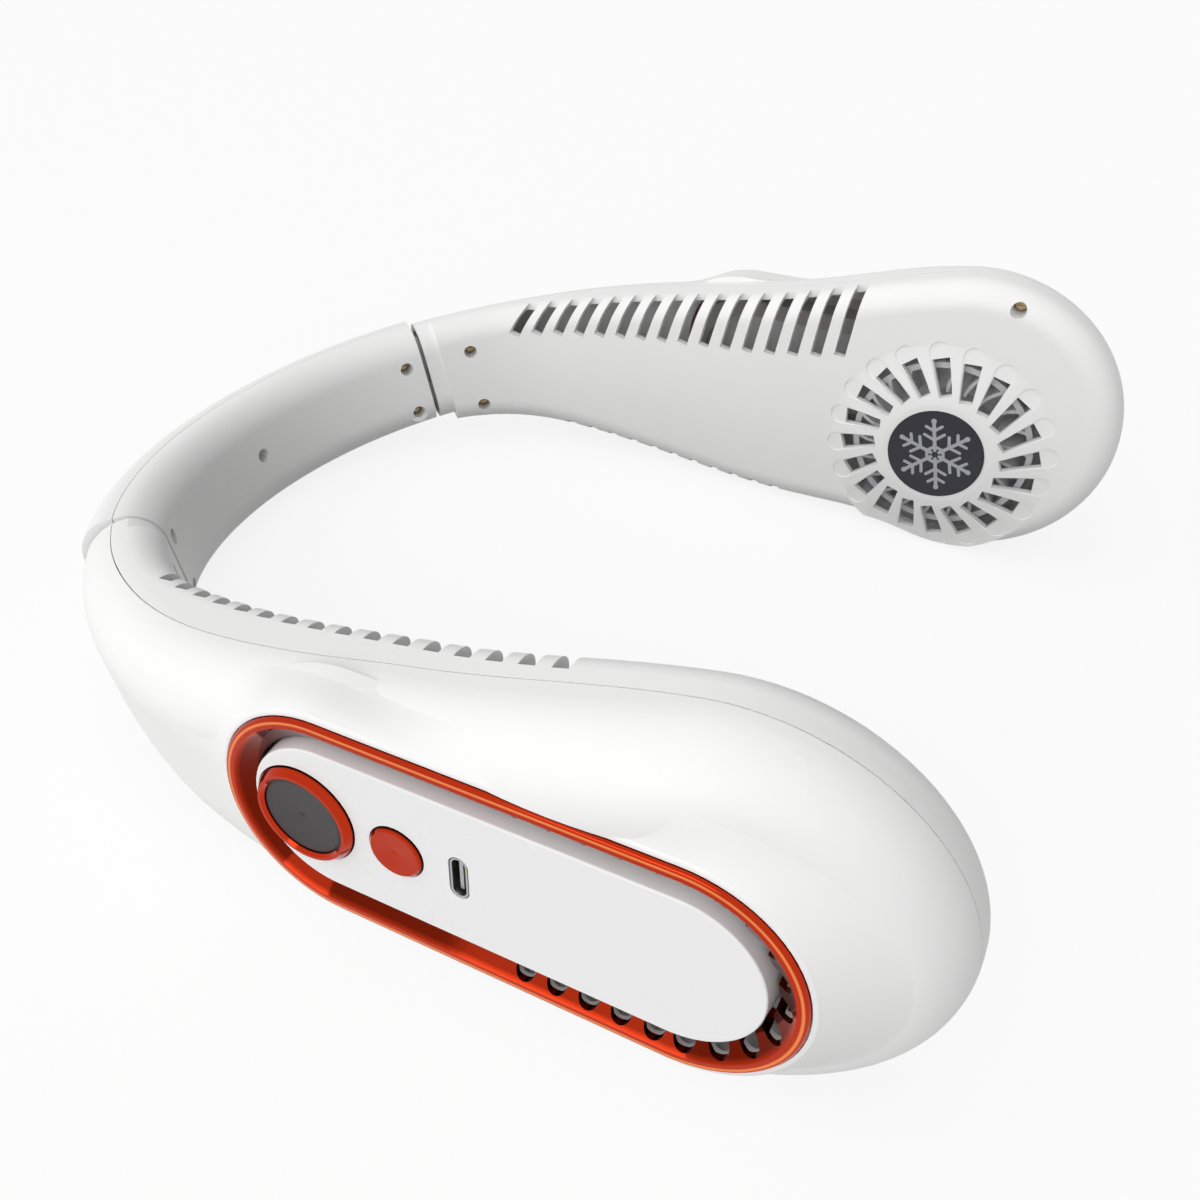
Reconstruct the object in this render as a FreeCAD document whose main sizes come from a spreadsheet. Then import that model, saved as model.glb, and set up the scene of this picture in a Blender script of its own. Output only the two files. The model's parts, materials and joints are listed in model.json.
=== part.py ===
"""Electric neck fan: a battery band with two hinged blower arms. Millimetres and degrees, +Z up."""
import FreeCAD, Part
import math
import os
import Sketcher
from types import SimpleNamespace
from FreeCAD import Placement, Rotation, Vector

SIZES = {
    # Neck band, a ring segment about the band's upright axis
    "neck_inner_radius": 77.7,
    "neck_thickness": 19.0,
    "neck_height": 30.0,
    "neck_corner": 8.0,
    "wall": 2.0,
    "seam_gap": 0.2,
    # Hinge between the band and an arm, measured from the middle of the band
    "hinge_angle": 42.6,
    "hinge_gap": 1.4,
    "hinge_depth": 5.5,
    "collar_step": 0.8,
    "collar_drop": 1.6,
    "sleeve_length": 5.2,
    "sleeve_wall": 1.5,
    "pin_radius": 1.5,
    "pin_clearance": 0.04,
    "knuckle_radius": 4.2,
    "knuckle_height": 6.0,
    "cable_space": 6.0,
    "collar_boss_radius": 4.4,
    "running_gap": 0.4,
    "spigot_inset": 4.8,
    # Arm, in plan and from the side
    "inner_edge_radius": 6.4,
    "outer_edge_radius": 13.0,
    "top_step": 0.2,
    "top_fall": 2.0,
    "waist_inset": 1.3,
    "arm_thickness": 26.9,
    "lobe_thickness": 20.8,
    "lobe_reach": 93.35,
    "lobe_drop": 21.65,
    "lobe_radius": 37.95,
    "heel_angle": 296.0,
    "belly_depth": 47.0,
    "flank_depth": 33.0,
    # Raised oval on the outside of an arm
    "oval_half_length": 53.5,
    "oval_half_width": 21.7,
    "oval_setback": 34.9,
    "oval_drop": 16.1,
    "oval_slope": 11.4,
    "oval_lean": 4.0,
    "oval_rise": 0.9,
    "oval_margin": 1.5,
    "oval_flare": 2.2,
    # Intake ring and the panel inside it
    "ring_lip": 1.3,
    "ring_lip_height": 1.6,
    "ring_bead": 0.7,
    "ring_wall": 1.4,
    "ring_depth": 8.5,
    "ring_slope_width": 4.1,
    "ring_slope_depth": 2.6,
    "ring_floor": 1.5,
    "ring_fit": 0.2,
    "arch_width": 3.8,
    "arch_pitch": 5.9,
    "arch_count": 5,
    "panel_margin": 6.4,
    "panel_bevel": 0.8,
    "panel_rise": 0.3,
    "panel_wall": 1.8,
    # Rows of vents along the top and bottom edges of the arm's inner face
    "vent_count": 16,
    "vent_pitch": 6.47,
    "vent_start": 29.3,
    "vent_width": 3.0,
    "vent_lean_back": 36.0,
    "vent_lean_front": 19.0,
    "vent_reach": 5.0,
    "vent_spread": 2.2,
    "vent_short": 8.9,
    "vent_long": 18.0,
    "vent_low_count": 11,
    "vent_low_start": 24.8,
    "vent_low_pitch": 6.32,
    "vent_low_length": 2.8,
    # Domed swirl grille and its badge disc
    "dome_rise": 2.9,
    "dome_hub": 14.2,
    "dome_radius": 31.0,
    "grille_setback": 6.2,
    "grille_drop": 28.6,
    "grille_count": 20,
    "grille_turn": 10.3,
    "grille_inner": 16.5,
    "grille_outer": 26.4,
    "grille_petal": 31.0,
    "grille_width_in": 3.2,
    "grille_width_out": 4.5,
    "grille_swirl": 19.0,
    "petal_width": 5.6,
    "petal_depth": 0.5,
    "badge_radius": 12.6,
    "badge_thickness": 1.2,
    "badge_recess": 1.0,
    # Blower
    "wheel_radius": 23.8,
    "wheel_height": 10.0,
    "wheel_gap": 0.8,
    "wheel_plate": 1.2,
    "wheel_hub": 12.4,
    "wheel_ring": 1.6,
    "blade_count": 22,
    "blade_thickness": 0.9,
    "blade_inner": 15.5,
    "blade_sweep": 24.0,
    "rotor_radius": 10.8,
    "rotor_wall": 0.8,
    "stator_radius": 9.2,
    "stator_height": 5.5,
    "stator_teeth": 6,
    "bush_radius": 2.6,
    "shaft_radius": 1.0,
    "shaft_clearance": 0.04,
    "bracket_gap": 1.0,
    "bracket_thickness": 1.8,
    "bracket_hub": 12.0,
    "bracket_arm": 4.6,
    "post_circle": 28.8,
    "post_radius": 2.1,
    "post_count": 3,
    "post_turn": 9.0,
    # Screws
    "screw_head_radius": 1.7,
    "screw_head_height": 1.4,
    "screw_radius": 1.0,
    "screw_length": 8.0,
    "screw_clearance": 0.03,
    "screw_bore": 1.9,
    "screw_depth": 6.0,
    "screw_boss": 3.2,
    "neck_screw_angle": 38.4,
    "neck_screw_high": 4.6,
    "neck_screw_low": 9.3,
    "arm_screw_angle": 53.0,
    "arm_screw_high": 4.7,
    "arm_screw_low": 12.5,
    "lobe_screw_front": 13.65,
    "lobe_screw_up": 31.05,
    "small_head_radius": 1.5,
    "small_head_height": 1.0,
    "small_screw_radius": 0.8,
    "small_screw_length": 4.0,
    # Battery
    "cell_length": 42.0,
    "cell_height": 20.0,
    "cell_thickness": 8.5,
    "cell_corner": 1.5,
    "cell_angle": 19.5,
    "guard_length": 22.0,
    "guard_height": 14.0,
    "board_thickness": 1.2,
    "cable_radius": 0.8,
    # Controls, measured along the panel from its middle towards the hinge
    "power_place": 36.3,
    "power_cap_radius": 8.0,
    "power_radius": 10.0,
    "power_rise": 1.6,
    "mode_place": 17.6,
    "mode_radius": 5.2,
    "mode_rise": 0.7,
    "button_gap": 0.25,
    "button_flange": 1.1,
    "button_flange_thick": 0.8,
    "button_stop": 0.2,
    "cap_fit": 0.05,
    "port_place": 5.4,
    "port_length": 8.94,
    "port_width": 3.26,
    "port_wall": 0.35,
    "port_fit": 0.25,
    "tongue_width": 6.7,
    "tongue_thick": 0.7,
    "board_length": 62.0,
    "board_width": 22.0,
    "board_place": 11.0,
    "board_drop": 5.0,
    "switch_side": 6.0,
    "switch_height": 1.9,
    "plunger_radius": 1.7,
    "plunger_height": 0.5,
    "board_post_radius": 2.0,
    "board_post_back": 24.5,
    "board_post_front": -14.0,
    "board_post_side": 6.5,
}

doc = FreeCAD.newDocument("NeckFan")
sheet = doc.addObject("Spreadsheet::Sheet", "Sizes")
for row, (name, value) in enumerate(SIZES.items(), start=1):
    sheet.set(f"A{row}", name)
    sheet.set(f"B{row}", str(value))
    sheet.setAlias(f"B{row}", name)
doc.recompute()
v = SimpleNamespace(**{name: float(sheet.get(name)) for name in SIZES})

X_AXIS = Vector(1, 0, 0)
Z_AXIS = Vector(0, 0, 1)
FORWARD = Vector(0, -1, 0)
BACKWARD = Vector(0, 1, 0)
SPARE = 40.0
DOME_SINK = 0.15
# How much further the dome's hollow stays inside the lobe's rounded edge than the arm's own hollow
RIM_SHARE = 1.3
# Depth of each section of the raised oval under the arm's outside, with its share of the flare
BOSS_FLARE = ((9.5, 1.0), (5.5, 0.55), (2.5, 0.2))
# The arm's walls in plan: distance outside the waist or inside the outer wall, and place along the arm
INNER_WALL = ((-2.2, 14), (0, -8), (0, -32))
OUTER_WALL = ((-10.8, 34), (-3.5, 14), (-0.5, -8), (0, -30))

# Places that several pieces share, in the band's own frame
collar_in = v.neck_inner_radius - v.collar_step
collar_out = v.neck_inner_radius + v.neck_thickness + v.collar_step
band_middle = v.neck_inner_radius + v.neck_thickness / 2
half_gap_angle = math.degrees(v.hinge_gap / 2 / band_middle)
neck_end_angle = v.hinge_angle - half_gap_angle
collar_angle = v.hinge_angle + half_gap_angle
pivot_angle = v.hinge_angle + math.degrees(v.hinge_depth / band_middle)
arm_top = v.neck_height / 2 + v.top_step
collar_bottom = -v.neck_height / 2 - v.collar_drop
sleeve_angle = collar_angle + math.degrees(v.sleeve_length / band_middle)
waist_x = v.neck_inner_radius - v.waist_inset
outer_x = waist_x + v.arm_thickness
hub_x = waist_x - v.dome_rise
lobe_outer_x = waist_x + v.lobe_thickness
seam_x = waist_x + v.lobe_thickness / 2
lobe_y = -v.lobe_reach
lobe_z = -v.lobe_drop
rim_x = outer_x + v.oval_rise
tray_x = rim_x - v.ring_depth
floor_x = tray_x + v.ring_floor
wheel_x = waist_x + v.wall + v.wheel_gap
wheel_back_x = wheel_x + v.wheel_height
bracket_x = wheel_back_x + v.bracket_gap
panel_x = rim_x + v.panel_rise
board_x = panel_x - v.panel_wall - v.board_drop
cable_half = v.cable_space / 2
knuckle_top = cable_half + v.knuckle_height
straight = v.oval_half_length - v.oval_half_width

oval_slope = math.radians(v.oval_slope)
oval_lean = math.radians(v.oval_lean)
OVAL_LONG = Vector(0, math.cos(oval_slope), math.sin(oval_slope))
upright = Vector(0, -math.sin(oval_slope), math.cos(oval_slope))
OVAL_UP = upright * math.cos(oval_lean) - X_AXIS * math.sin(oval_lean)
OVAL_OUT = X_AXIS * math.cos(oval_lean) + upright * math.sin(oval_lean)
oval_middle = Vector(rim_x, lobe_y + v.oval_setback, -v.oval_drop)
OVAL_FRAME = Placement(oval_middle - OVAL_OUT * rim_x, Rotation(OVAL_LONG, OVAL_UP, OVAL_OUT, "ZXY"))
FAN_FRAME = Placement(
    Vector(0, lobe_y + v.grille_setback, -v.grille_drop), Rotation(BACKWARD, Z_AXIS, X_AXIS, "ZXY"))

nodes = []


def polar(radius, angle, height=0.0):
    """A point at an angle from the middle of the band, turning towards the right arm."""
    turn = math.radians(angle)
    return Vector(radius * math.sin(turn), radius * math.cos(turn), height)


def radial_frame(radius, angle, height):
    """A frame on the band whose Z axis points outwards along the radius."""
    out = polar(1, angle)
    along = Vector(out.y, -out.x, 0)
    return Placement(polar(radius, angle, height), Rotation(along, Z_AXIS.negative(), out, "ZXY"))


def feature(label, shape, place=None):
    piece = doc.addObject("Part::Feature", label)
    piece.Shape = shape
    if place is not None:
        piece.Placement = place
    return piece


def node(piece, label, frame=None):
    """Name a finished piece, with the frame that it was drawn in."""
    piece.Label = label
    nodes.append((piece, frame or Placement()))
    return piece


def mirrored(piece, label):
    """The left-hand twin of a right-hand piece."""
    twin = doc.addObject("Part::Mirroring", label)
    twin.Source = piece
    twin.Normal = X_AXIS
    twin.Label = label
    nodes.append((twin, None))
    return twin


def boolean(kind, label, base, tool):
    result = doc.addObject(f"Part::{kind}", label)
    result.Base = base
    result.Tool = tool
    return result


def cylinder(label, radius, height):
    piece = doc.addObject("Part::Cylinder", label)
    piece.setExpression("Radius", radius)
    piece.setExpression("Height", height)
    return piece


def box(label, length, width, height):
    piece = doc.addObject("Part::Box", label)
    piece.setExpression("Length", length)
    piece.setExpression("Width", width)
    piece.setExpression("Height", height)
    return piece


def plane_of(body, role):
    return next(item for item in body.Origin.OriginFeatures if item.Role == role)


def polygon(body, name, plane, corners):
    """A closed sketch whose corners are pairs of expressions."""
    sketch = body.newObject("Sketcher::SketchObject", name)
    sketch.AttachmentSupport = (plane_of(body, plane), [""])
    sketch.MapMode = "FlatFace"
    spots = [Vector(*(sheet.evalExpression(term) for term in corner), 0) for corner in corners]
    count = len(spots)
    for index in range(count):
        sketch.addGeometry(Part.LineSegment(spots[index], spots[(index + 1) % count]))
    for index in range(count):
        sketch.addConstraint(Sketcher.Constraint("Coincident", index, 2, (index + 1) % count, 1))
    for index, corner in enumerate(corners):
        for kind, spot, term in zip(("DistanceX", "DistanceY"), spots[index], corner):
            number = sketch.addConstraint(Sketcher.Constraint(kind, -1, 1, index, 1, spot))
            sketch.setExpression(f"Constraints[{number}]", term)
    return sketch


def turned(name, corners):
    """A body turned about its own Z axis from a profile of radius and height."""
    body = doc.addObject("PartDesign::Body", name)
    profile = polygon(body, name + "_profile", "XZ_Plane", corners)
    turn = body.newObject("PartDesign::Revolution", name + "_turn")
    turn.Profile = profile
    turn.ReferenceAxis = (profile, ["V_Axis"])
    turn.Angle = 360
    body.Tip = turn
    return body


def padded(name, corners, thickness):
    """A body of one flat profile, thickened upwards from its XY plane."""
    body = doc.addObject("PartDesign::Body", name)
    profile = polygon(body, name + "_profile", "XY_Plane", corners)
    pad = body.newObject("PartDesign::Pad", name + "_pad")
    pad.Profile = profile
    pad.setExpression("Length", thickness)
    body.Tip = pad
    return body


def spline(points, start, end):
    curve = Part.BSplineCurve()
    curve.interpolate(Points=points, InitialTangent=start, FinalTangent=end)
    return curve


def inset_spline(points, start, end, normal, inset):
    """The spline through the points, moved sideways by the inset; normal is the plane's own."""
    curve = spline(points, start, end)
    moved = [p + normal.cross(curve.tangent(curve.parameter(p))[0]).normalize() * inset for p in points]
    return moved, spline(moved, start, end)


def line(start, end):
    return Part.LineSegment(start, end).toShape()


def oval(half_width, x, grow=0.0):
    """A stadium wire in the panel's frame, at distance x from the middle of the fan."""
    radius = half_width + grow
    high = [Vector(straight, radius, x), Vector(-straight, radius, x)]
    low = [Vector(-straight, -radius, x), Vector(straight, -radius, x)]
    front = Part.Arc(high[1], Vector(-straight - radius, 0, x), low[0]).toShape()
    back = Part.Arc(low[1], Vector(straight + radius, 0, x), high[0]).toShape()
    return Part.Wire([line(high[0], high[1]), front, line(low[0], low[1]), back])


def oval_prism(half_width, low, high):
    return Part.Face(oval(half_width, low)).extrude(Vector(0, 0, high - low))


def plan_edges(inset):
    """The arm's inner and outer walls seen from above, hinge first, as two chains of edges."""
    start_angle = v.hinge_angle - 9
    start = Vector(math.cos(math.radians(start_angle)), -math.sin(math.radians(start_angle)), 0)
    turns = [start_angle, v.hinge_angle, v.hinge_angle + 10]
    inner = [polar(collar_in, turn) for turn in turns + [v.hinge_angle + 21]]
    inner += [Vector(waist_x + out, along, 0) for out, along in INNER_WALL]
    inner.append(Vector(waist_x, lobe_y + 30, 0))
    outer = [polar(collar_out, turn) for turn in turns]
    outer += [Vector(outer_x + out, along, 0) for out, along in OUTER_WALL]
    outer += [Vector(outer_x, lobe_y + 32, 0), Vector(outer_x - 1.3, lobe_y + 5, 0)]
    front = lobe_y - v.lobe_radius - SPARE
    outer += [Vector(lobe_outer_x + 1.6, lobe_y - 12, 0), Vector(lobe_outer_x, lobe_y - 26, 0)]
    outer += [Vector(lobe_outer_x - 0.4, front, 0)]
    inner, inner_curve = inset_spline(inner, start, FORWARD, Z_AXIS, inset)
    outer, outer_curve = inset_spline(outer, start, FORWARD, Z_AXIS, -inset)
    inner_front = Vector(inner[-1].x, front, 0)
    return [inner_curve.toShape(), line(inner[-1], inner_front), line(inner_front, outer[-1]),
            outer_curve.toShape(), line(outer[0], inner[0])]


def side_edges(inset):
    """The arm's outline seen from the side: top, round nose, belly and the open hinge end."""
    radius = v.lobe_radius - inset
    hinge_y = band_middle + 8
    high_back = Vector(0, hinge_y, arm_top - inset)
    high_front = Vector(0, lobe_y + 52, arm_top - v.top_fall - inset)
    crown = Vector(0, lobe_y, lobe_z + radius)
    heel_turn = math.radians(v.heel_angle)
    heel = Vector(0, lobe_y + radius * math.cos(heel_turn), lobe_z + radius * math.sin(heel_turn))
    heel_way = Vector(0, -math.sin(heel_turn), math.cos(heel_turn))
    nose = Part.Arc(crown, Vector(0, lobe_y - radius, lobe_z), heel).toShape()
    outline = Vector(
        0, lobe_y + v.lobe_radius * math.cos(heel_turn), lobe_z + v.lobe_radius * math.sin(heel_turn))
    belly = [outline, Vector(0, lobe_y + 52, -v.belly_depth), Vector(0, 5, -v.flank_depth)]
    belly += [Vector(0, 57, collar_bottom), Vector(0, hinge_y, collar_bottom + 1.5)]
    belly, belly_curve = inset_spline(belly, heel_way, BACKWARD, X_AXIS, inset)
    rise = spline([high_front, crown], high_front - high_back, FORWARD).toShape()
    return [line(high_back, high_front), rise, nose, belly_curve.toShape(), line(belly[-1], high_back)]


def arm_form(inset):
    """The arm's outside form, or the same form inset all round."""
    plan = Part.Face(Part.Wire(Part.__sortEdges__(plan_edges(inset))))
    plan.translate(Vector(0, 0, -2 * v.lobe_radius - SPARE))
    upright = plan.extrude(Vector(0, 0, 4 * v.lobe_radius + 2 * SPARE))
    side = Part.Face(Part.Wire(Part.__sortEdges__(side_edges(inset))))
    across = side.extrude(Vector(2 * outer_x, 0, 0))
    form = upright.common(across).Solids[0]
    for way, radius in ((1, v.outer_edge_radius), (-1, v.inner_edge_radius)):
        edges = [edge for edge in form.Edges if is_long_edge(form, edge, way)]
        form = form.makeFillet(radius - inset, edges)
    return form


def is_long_edge(form, edge, way):
    """True where the side wall that faces this way along X meets the top, nose or belly."""
    walls = 0
    skins = 0
    for face in form.ancestorsOfType(edge, Part.Face):
        low_u, high_u, low_v, high_v = face.ParameterRange
        normal = face.normalAt((low_u + high_u) / 2, (low_v + high_v) / 2)
        flat = isinstance(face.Surface, Part.Plane)
        skins += abs(normal.x) < 1e-6
        walls += abs(normal.z) < 1e-6 and normal.x * way > (0.99 if flat else 1e-6)
    return walls == 1 and skins == 1


def dome(inset):
    """The swelling under the grille: a flat hub, a curved flank and the rounded edge of the lobe."""
    low = hub_x + inset
    hub = Vector(v.dome_hub, 0, low)
    edge = Vector(v.dome_radius, 0, waist_x + inset + DOME_SINK)
    flank = spline([hub, edge], Vector(1, 0, 0.12), Vector(1, 0, 0.09)).toShape()
    foot = waist_x + v.inner_edge_radius
    profile = [line(Vector(0, 0, low), hub), flank, line(edge, Vector(edge.x, 0, foot)),
               line(Vector(edge.x, 0, foot), Vector(0, 0, foot)), line(Vector(0, 0, foot), Vector(0, 0, low))]
    swelling = in_frame(Part.Face(Part.Wire(profile)).revolve(Vector(), Z_AXIS, 360), FAN_FRAME)
    rim_inset = inset * RIM_SHARE
    side = Part.Face(Part.Wire(Part.__sortEdges__(side_edges(rim_inset))))
    side.translate(Vector(low, 0, 0))
    limit = side.extrude(Vector(v.lobe_thickness, 0, 0))
    rims = [rim for rim in limit.Edges if rim.BoundBox.XMax - low < 1e-3 and rim.BoundBox.YMin < lobe_y + 60]
    return swelling.common(limit.makeFillet(v.inner_edge_radius - rim_inset, rims))


def collar_cutter(angle):
    """Everything on the neck's side of a plane through the band's axis."""
    way = polar(1, angle)
    along = Vector(way.y, -way.x, 0)
    block = Part.makeBox(4 * SPARE, 4 * SPARE, 8 * SPARE, Vector(-4 * SPARE, -2 * SPARE, -4 * SPARE))
    block.Placement = Placement(polar(band_middle, angle), Rotation(along, way, Z_AXIS, "ZXY"))
    return block


def band_segment(inset, start, end):
    """A length of the band's own section between two angles."""
    low = v.neck_inner_radius + inset
    high = v.neck_inner_radius + v.neck_thickness - inset
    tall = v.neck_height / 2 - inset
    corners = [Vector(0, low, -tall), Vector(0, high, -tall), Vector(0, high, tall), Vector(0, low, tall)]
    face = Part.Face(Part.makePolygon(corners + corners[:1]))
    segment = face.revolve(Vector(), Z_AXIS, start - end)
    segment = segment.makeFillet(
        v.neck_corner - inset, [edge for edge in segment.Edges if isinstance(edge.Curve, Part.Circle)])
    segment.rotate(Vector(), Z_AXIS, -start)
    return segment


def seam_block(shift):
    """Everything outside the seam, which follows the middle of the arm's thickness."""
    start_angle = v.hinge_angle - 9
    start = Vector(math.cos(math.radians(start_angle)), -math.sin(math.radians(start_angle)), 0)
    turns = [start_angle, v.hinge_angle, v.hinge_angle + 10, v.hinge_angle + 20]
    seam = [polar(band_middle, turn) for turn in turns]
    seam += [Vector(seam_x + 1.4, 8, 0), Vector(seam_x + 2.2, -20, 0), Vector(seam_x, lobe_y + 8, 0)]
    seam, curve = inset_spline(seam, start, FORWARD, Z_AXIS, shift)
    front = Vector(seam[-1].x, lobe_y - v.lobe_radius - SPARE, 0)
    far_front = Vector(outer_x + SPARE, front.y, 0)
    far_back = Vector(outer_x + SPARE, seam[0].y, 0)
    edges = [curve.toShape(), line(seam[-1], front), line(front, far_front), line(far_front, far_back)]
    edges.append(line(far_back, seam[0]))
    face = Part.Face(Part.Wire(edges))
    face.translate(Vector(0, 0, -4 * SPARE))
    return face.extrude(Vector(0, 0, 8 * SPARE))


def in_frame(shape, place):
    copy = shape.copy()
    copy.Placement = place
    return copy


def rod(radius, low, high):
    """A round rod along its frame's Z axis."""
    return Part.makeCylinder(radius, high - low, Vector(0, 0, low))


def screw_shape(head_radius, head_height, radius, length):
    """A pan-head screw whose head rests on the XY plane, driven along +Z."""
    head = Part.makeCylinder(head_radius, head_height, Vector(0, 0, -head_height))
    head = head.makeFillet(head_height * 0.4, [head.Edges[2]])
    slot = Part.makeBox(head_radius * 1.2, head_radius * 0.3, head_height * 0.5)
    slot.translate(Vector(-head_radius * 0.6, -head_radius * 0.15, -head_height))
    cross = in_frame(slot, Placement(Vector(), Rotation(Z_AXIS, 90)))
    shank = Part.makeCylinder(radius, length)
    return head.fuse(shank).cut(slot).cut(cross)


screw = screw_shape(v.screw_head_radius, v.screw_head_height, v.screw_radius, v.screw_length)
small_screw = screw_shape(
    v.small_head_radius, v.small_head_height, v.small_screw_radius, v.small_screw_length)


def screw_set(label, places, shape):
    return feature(label, Part.makeCompound([in_frame(shape, place) for place in places]))


def driven(place):
    """Where a screw's head sits at the bottom of its counterbore."""
    return place.multiply(Placement(Vector(0, 0, v.screw_depth), Rotation()))


def screw_tools(place, depth):
    """A clamshell screw's boss through the whole thickness, and the holes along it."""
    boss = in_frame(rod(v.screw_boss, v.wall / 2, depth - v.wall / 2), place)
    counterbore = rod(v.screw_bore, -SPARE / 4, v.screw_depth)
    hole = rod(v.screw_radius + v.screw_clearance, 0, v.screw_depth + v.screw_length + 0.5)
    return boss, in_frame(counterbore.fuse(hole), place)


def build_neck():
    """Clamshell band with its screws, cells, guard board, cable and hinge brackets."""
    angle = f"2 * (Sizes.hinge_angle - {half_gap_angle})"
    shells = []
    for name, inset in (("neck_form", "0"), ("neck_hollow", "Sizes.wall")):
        body = doc.addObject("PartDesign::Body", name)
        low = f"Sizes.neck_inner_radius + {inset}"
        high = f"Sizes.neck_inner_radius + Sizes.neck_thickness - {inset}"
        tall = f"Sizes.neck_height / 2 - {inset}"
        corners = [(low, f"-({tall})"), (high, f"-({tall})"), (high, tall), (low, tall)]
        profile = polygon(body, name + "_profile", "YZ_Plane", corners)
        turn = body.newObject("PartDesign::Revolution", name + "_turn")
        turn.Profile = profile
        turn.ReferenceAxis = (profile, ["V_Axis"])
        turn.Midplane = True
        turn.setExpression("Angle", angle)
        doc.recompute()
        rounded = body.newObject("PartDesign::Fillet", name + "_corners")
        long_edges = [f"Edge{number}" for number, edge in enumerate(turn.Shape.Edges, start=1)
                      if isinstance(edge.Curve, Part.Circle)]
        rounded.Base = (turn, long_edges)
        rounded.setExpression("Radius", f"Sizes.neck_corner - {inset}")
        body.Tip = rounded
        shells.append(body)
    doc.recompute()
    skin = boolean("Cut", "neck_skin", shells[0], shells[1])
    places = [radial_frame(v.neck_inner_radius, 0, 0)]
    for side in (-1, 1):
        for height in (v.neck_screw_high, -v.neck_screw_low):
            places.append(radial_frame(v.neck_inner_radius, side * v.neck_screw_angle, height))
    tools = [screw_tools(place, v.neck_thickness) for place in places]
    bosses = feature("neck_bosses", tools[0][0].fuse([boss for boss, hole in tools[1:]]))
    holes = feature("neck_holes", tools[0][1].fuse([hole for boss, hole in tools[1:]]))
    bossed = boolean("Fuse", "neck_bossed", skin, bosses)
    drilled = boolean("Cut", "neck_drilled", bossed, holes)
    for label, kind, shift in (("neck_inner_shell", "Common", -1), ("neck_outer_shell", "Cut", 1)):
        seam = cylinder(label + "_seam", f"Sizes.neck_inner_radius + Sizes.neck_thickness / 2"
                        f" + {shift} * Sizes.seam_gap / 2", "Sizes.neck_height * 2")
        seam.Placement = Placement(Vector(0, 0, -v.neck_height), Rotation())
        node(boolean(kind, label, drilled, seam), label)
    node(screw_set("neck_screws", [driven(place) for place in places], screw), "neck_screws")
    build_battery()
    bracket = node(feature("hinge_bracket_right", hinge_bracket()), "hinge_bracket_right")
    mirrored(bracket, "hinge_bracket_left")


def build_battery():
    """Two flat cells set as chords of the band, a guard board on one of them and the cable above."""
    corners = [("-Sizes.cell_length / 2", "-Sizes.cell_height / 2"),
               ("Sizes.cell_length / 2", "-Sizes.cell_height / 2"),
               ("Sizes.cell_length / 2", "Sizes.cell_height / 2"),
               ("-Sizes.cell_length / 2", "Sizes.cell_height / 2")]
    body = padded("battery_cell_right", corners, "Sizes.cell_thickness")
    doc.recompute()
    slab = body.Tip
    edges = [f"Edge{number}" for number in range(1, len(slab.Shape.Edges) + 1)]
    rounded = body.newObject("PartDesign::Fillet", "battery_cell_edges")
    rounded.Base = (slab, edges)
    rounded.setExpression("Radius", "Sizes.cell_corner")
    body.Tip = rounded
    sagitta = band_middle - math.sqrt(band_middle ** 2 - (v.cell_length / 2) ** 2)
    seat = v.neck_inner_radius + v.neck_thickness - v.wall - v.running_gap - sagitta - v.cell_thickness
    node(body, "battery_cell_right", radial_frame(seat, v.cell_angle, 0))
    mirrored(body, "battery_cell_left")
    corners = [("-Sizes.guard_length / 2", "-Sizes.guard_height / 2"),
               ("Sizes.guard_length / 2", "-Sizes.guard_height / 2"),
               ("Sizes.guard_length / 2", "Sizes.guard_height / 2"),
               ("-Sizes.guard_length / 2", "Sizes.guard_height / 2")]
    guard = padded("battery_guard_board", corners, "Sizes.board_thickness")
    node(guard, "battery_guard_board", radial_frame(seat - v.board_thickness, v.cell_angle, 0))
    height = v.cell_height / 2 + v.running_gap + v.cable_radius
    turn = v.neck_screw_angle - 5
    path_radius = seat + v.cell_thickness / 2
    ring = Part.makeTorus(path_radius, v.cable_radius, Vector(0, 0, height), Z_AXIS, -180, 180, 2 * turn)
    ring.rotate(Vector(), Z_AXIS, 90 - turn)
    node(feature("neck_cable", Part.makeCompound([ring])), "neck_cable")


def hinge_bracket():
    """A block in the end of the band, bored for its bosses, with a spigot and two knuckles round the pin."""
    clearance = v.running_gap
    start = v.neck_screw_angle - math.degrees((v.screw_boss + 2.2) / band_middle)
    block = band_segment(v.wall + clearance, start, neck_end_angle - 0.1)
    block = block.fuse(band_segment(v.spigot_inset, start, collar_angle))
    for height in (v.neck_screw_high, -v.neck_screw_low):
        place = radial_frame(v.neck_inner_radius, v.neck_screw_angle, height)
        block = block.cut(in_frame(rod(v.screw_boss + clearance, 0, v.neck_thickness), place))
    pivot = polar(band_middle, pivot_angle)
    root = polar(band_middle, neck_end_angle - 0.9)
    reach = pivot.sub(root)
    for bottom in (cable_half, -knuckle_top):
        side = Vector(0, -v.knuckle_radius, 0)
        lug = Part.makeBox(reach.Length, 2 * v.knuckle_radius, v.knuckle_height, side)
        lug.Placement = Placement(root + Z_AXIS * bottom, Rotation(X_AXIS, reach))
        eye = Part.makeCylinder(v.knuckle_radius, v.knuckle_height, pivot + Z_AXIS * bottom)
        block = block.fuse([lug, eye])
    hole = Part.makeCylinder(
        v.pin_radius + v.pin_clearance, v.neck_height, pivot - Z_AXIS * v.neck_height / 2)
    passage = Part.makeCylinder(v.cable_radius * 2, 3 * SPARE, root - reach * 10, reach)
    return block.cut(hole).cut(passage)


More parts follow.
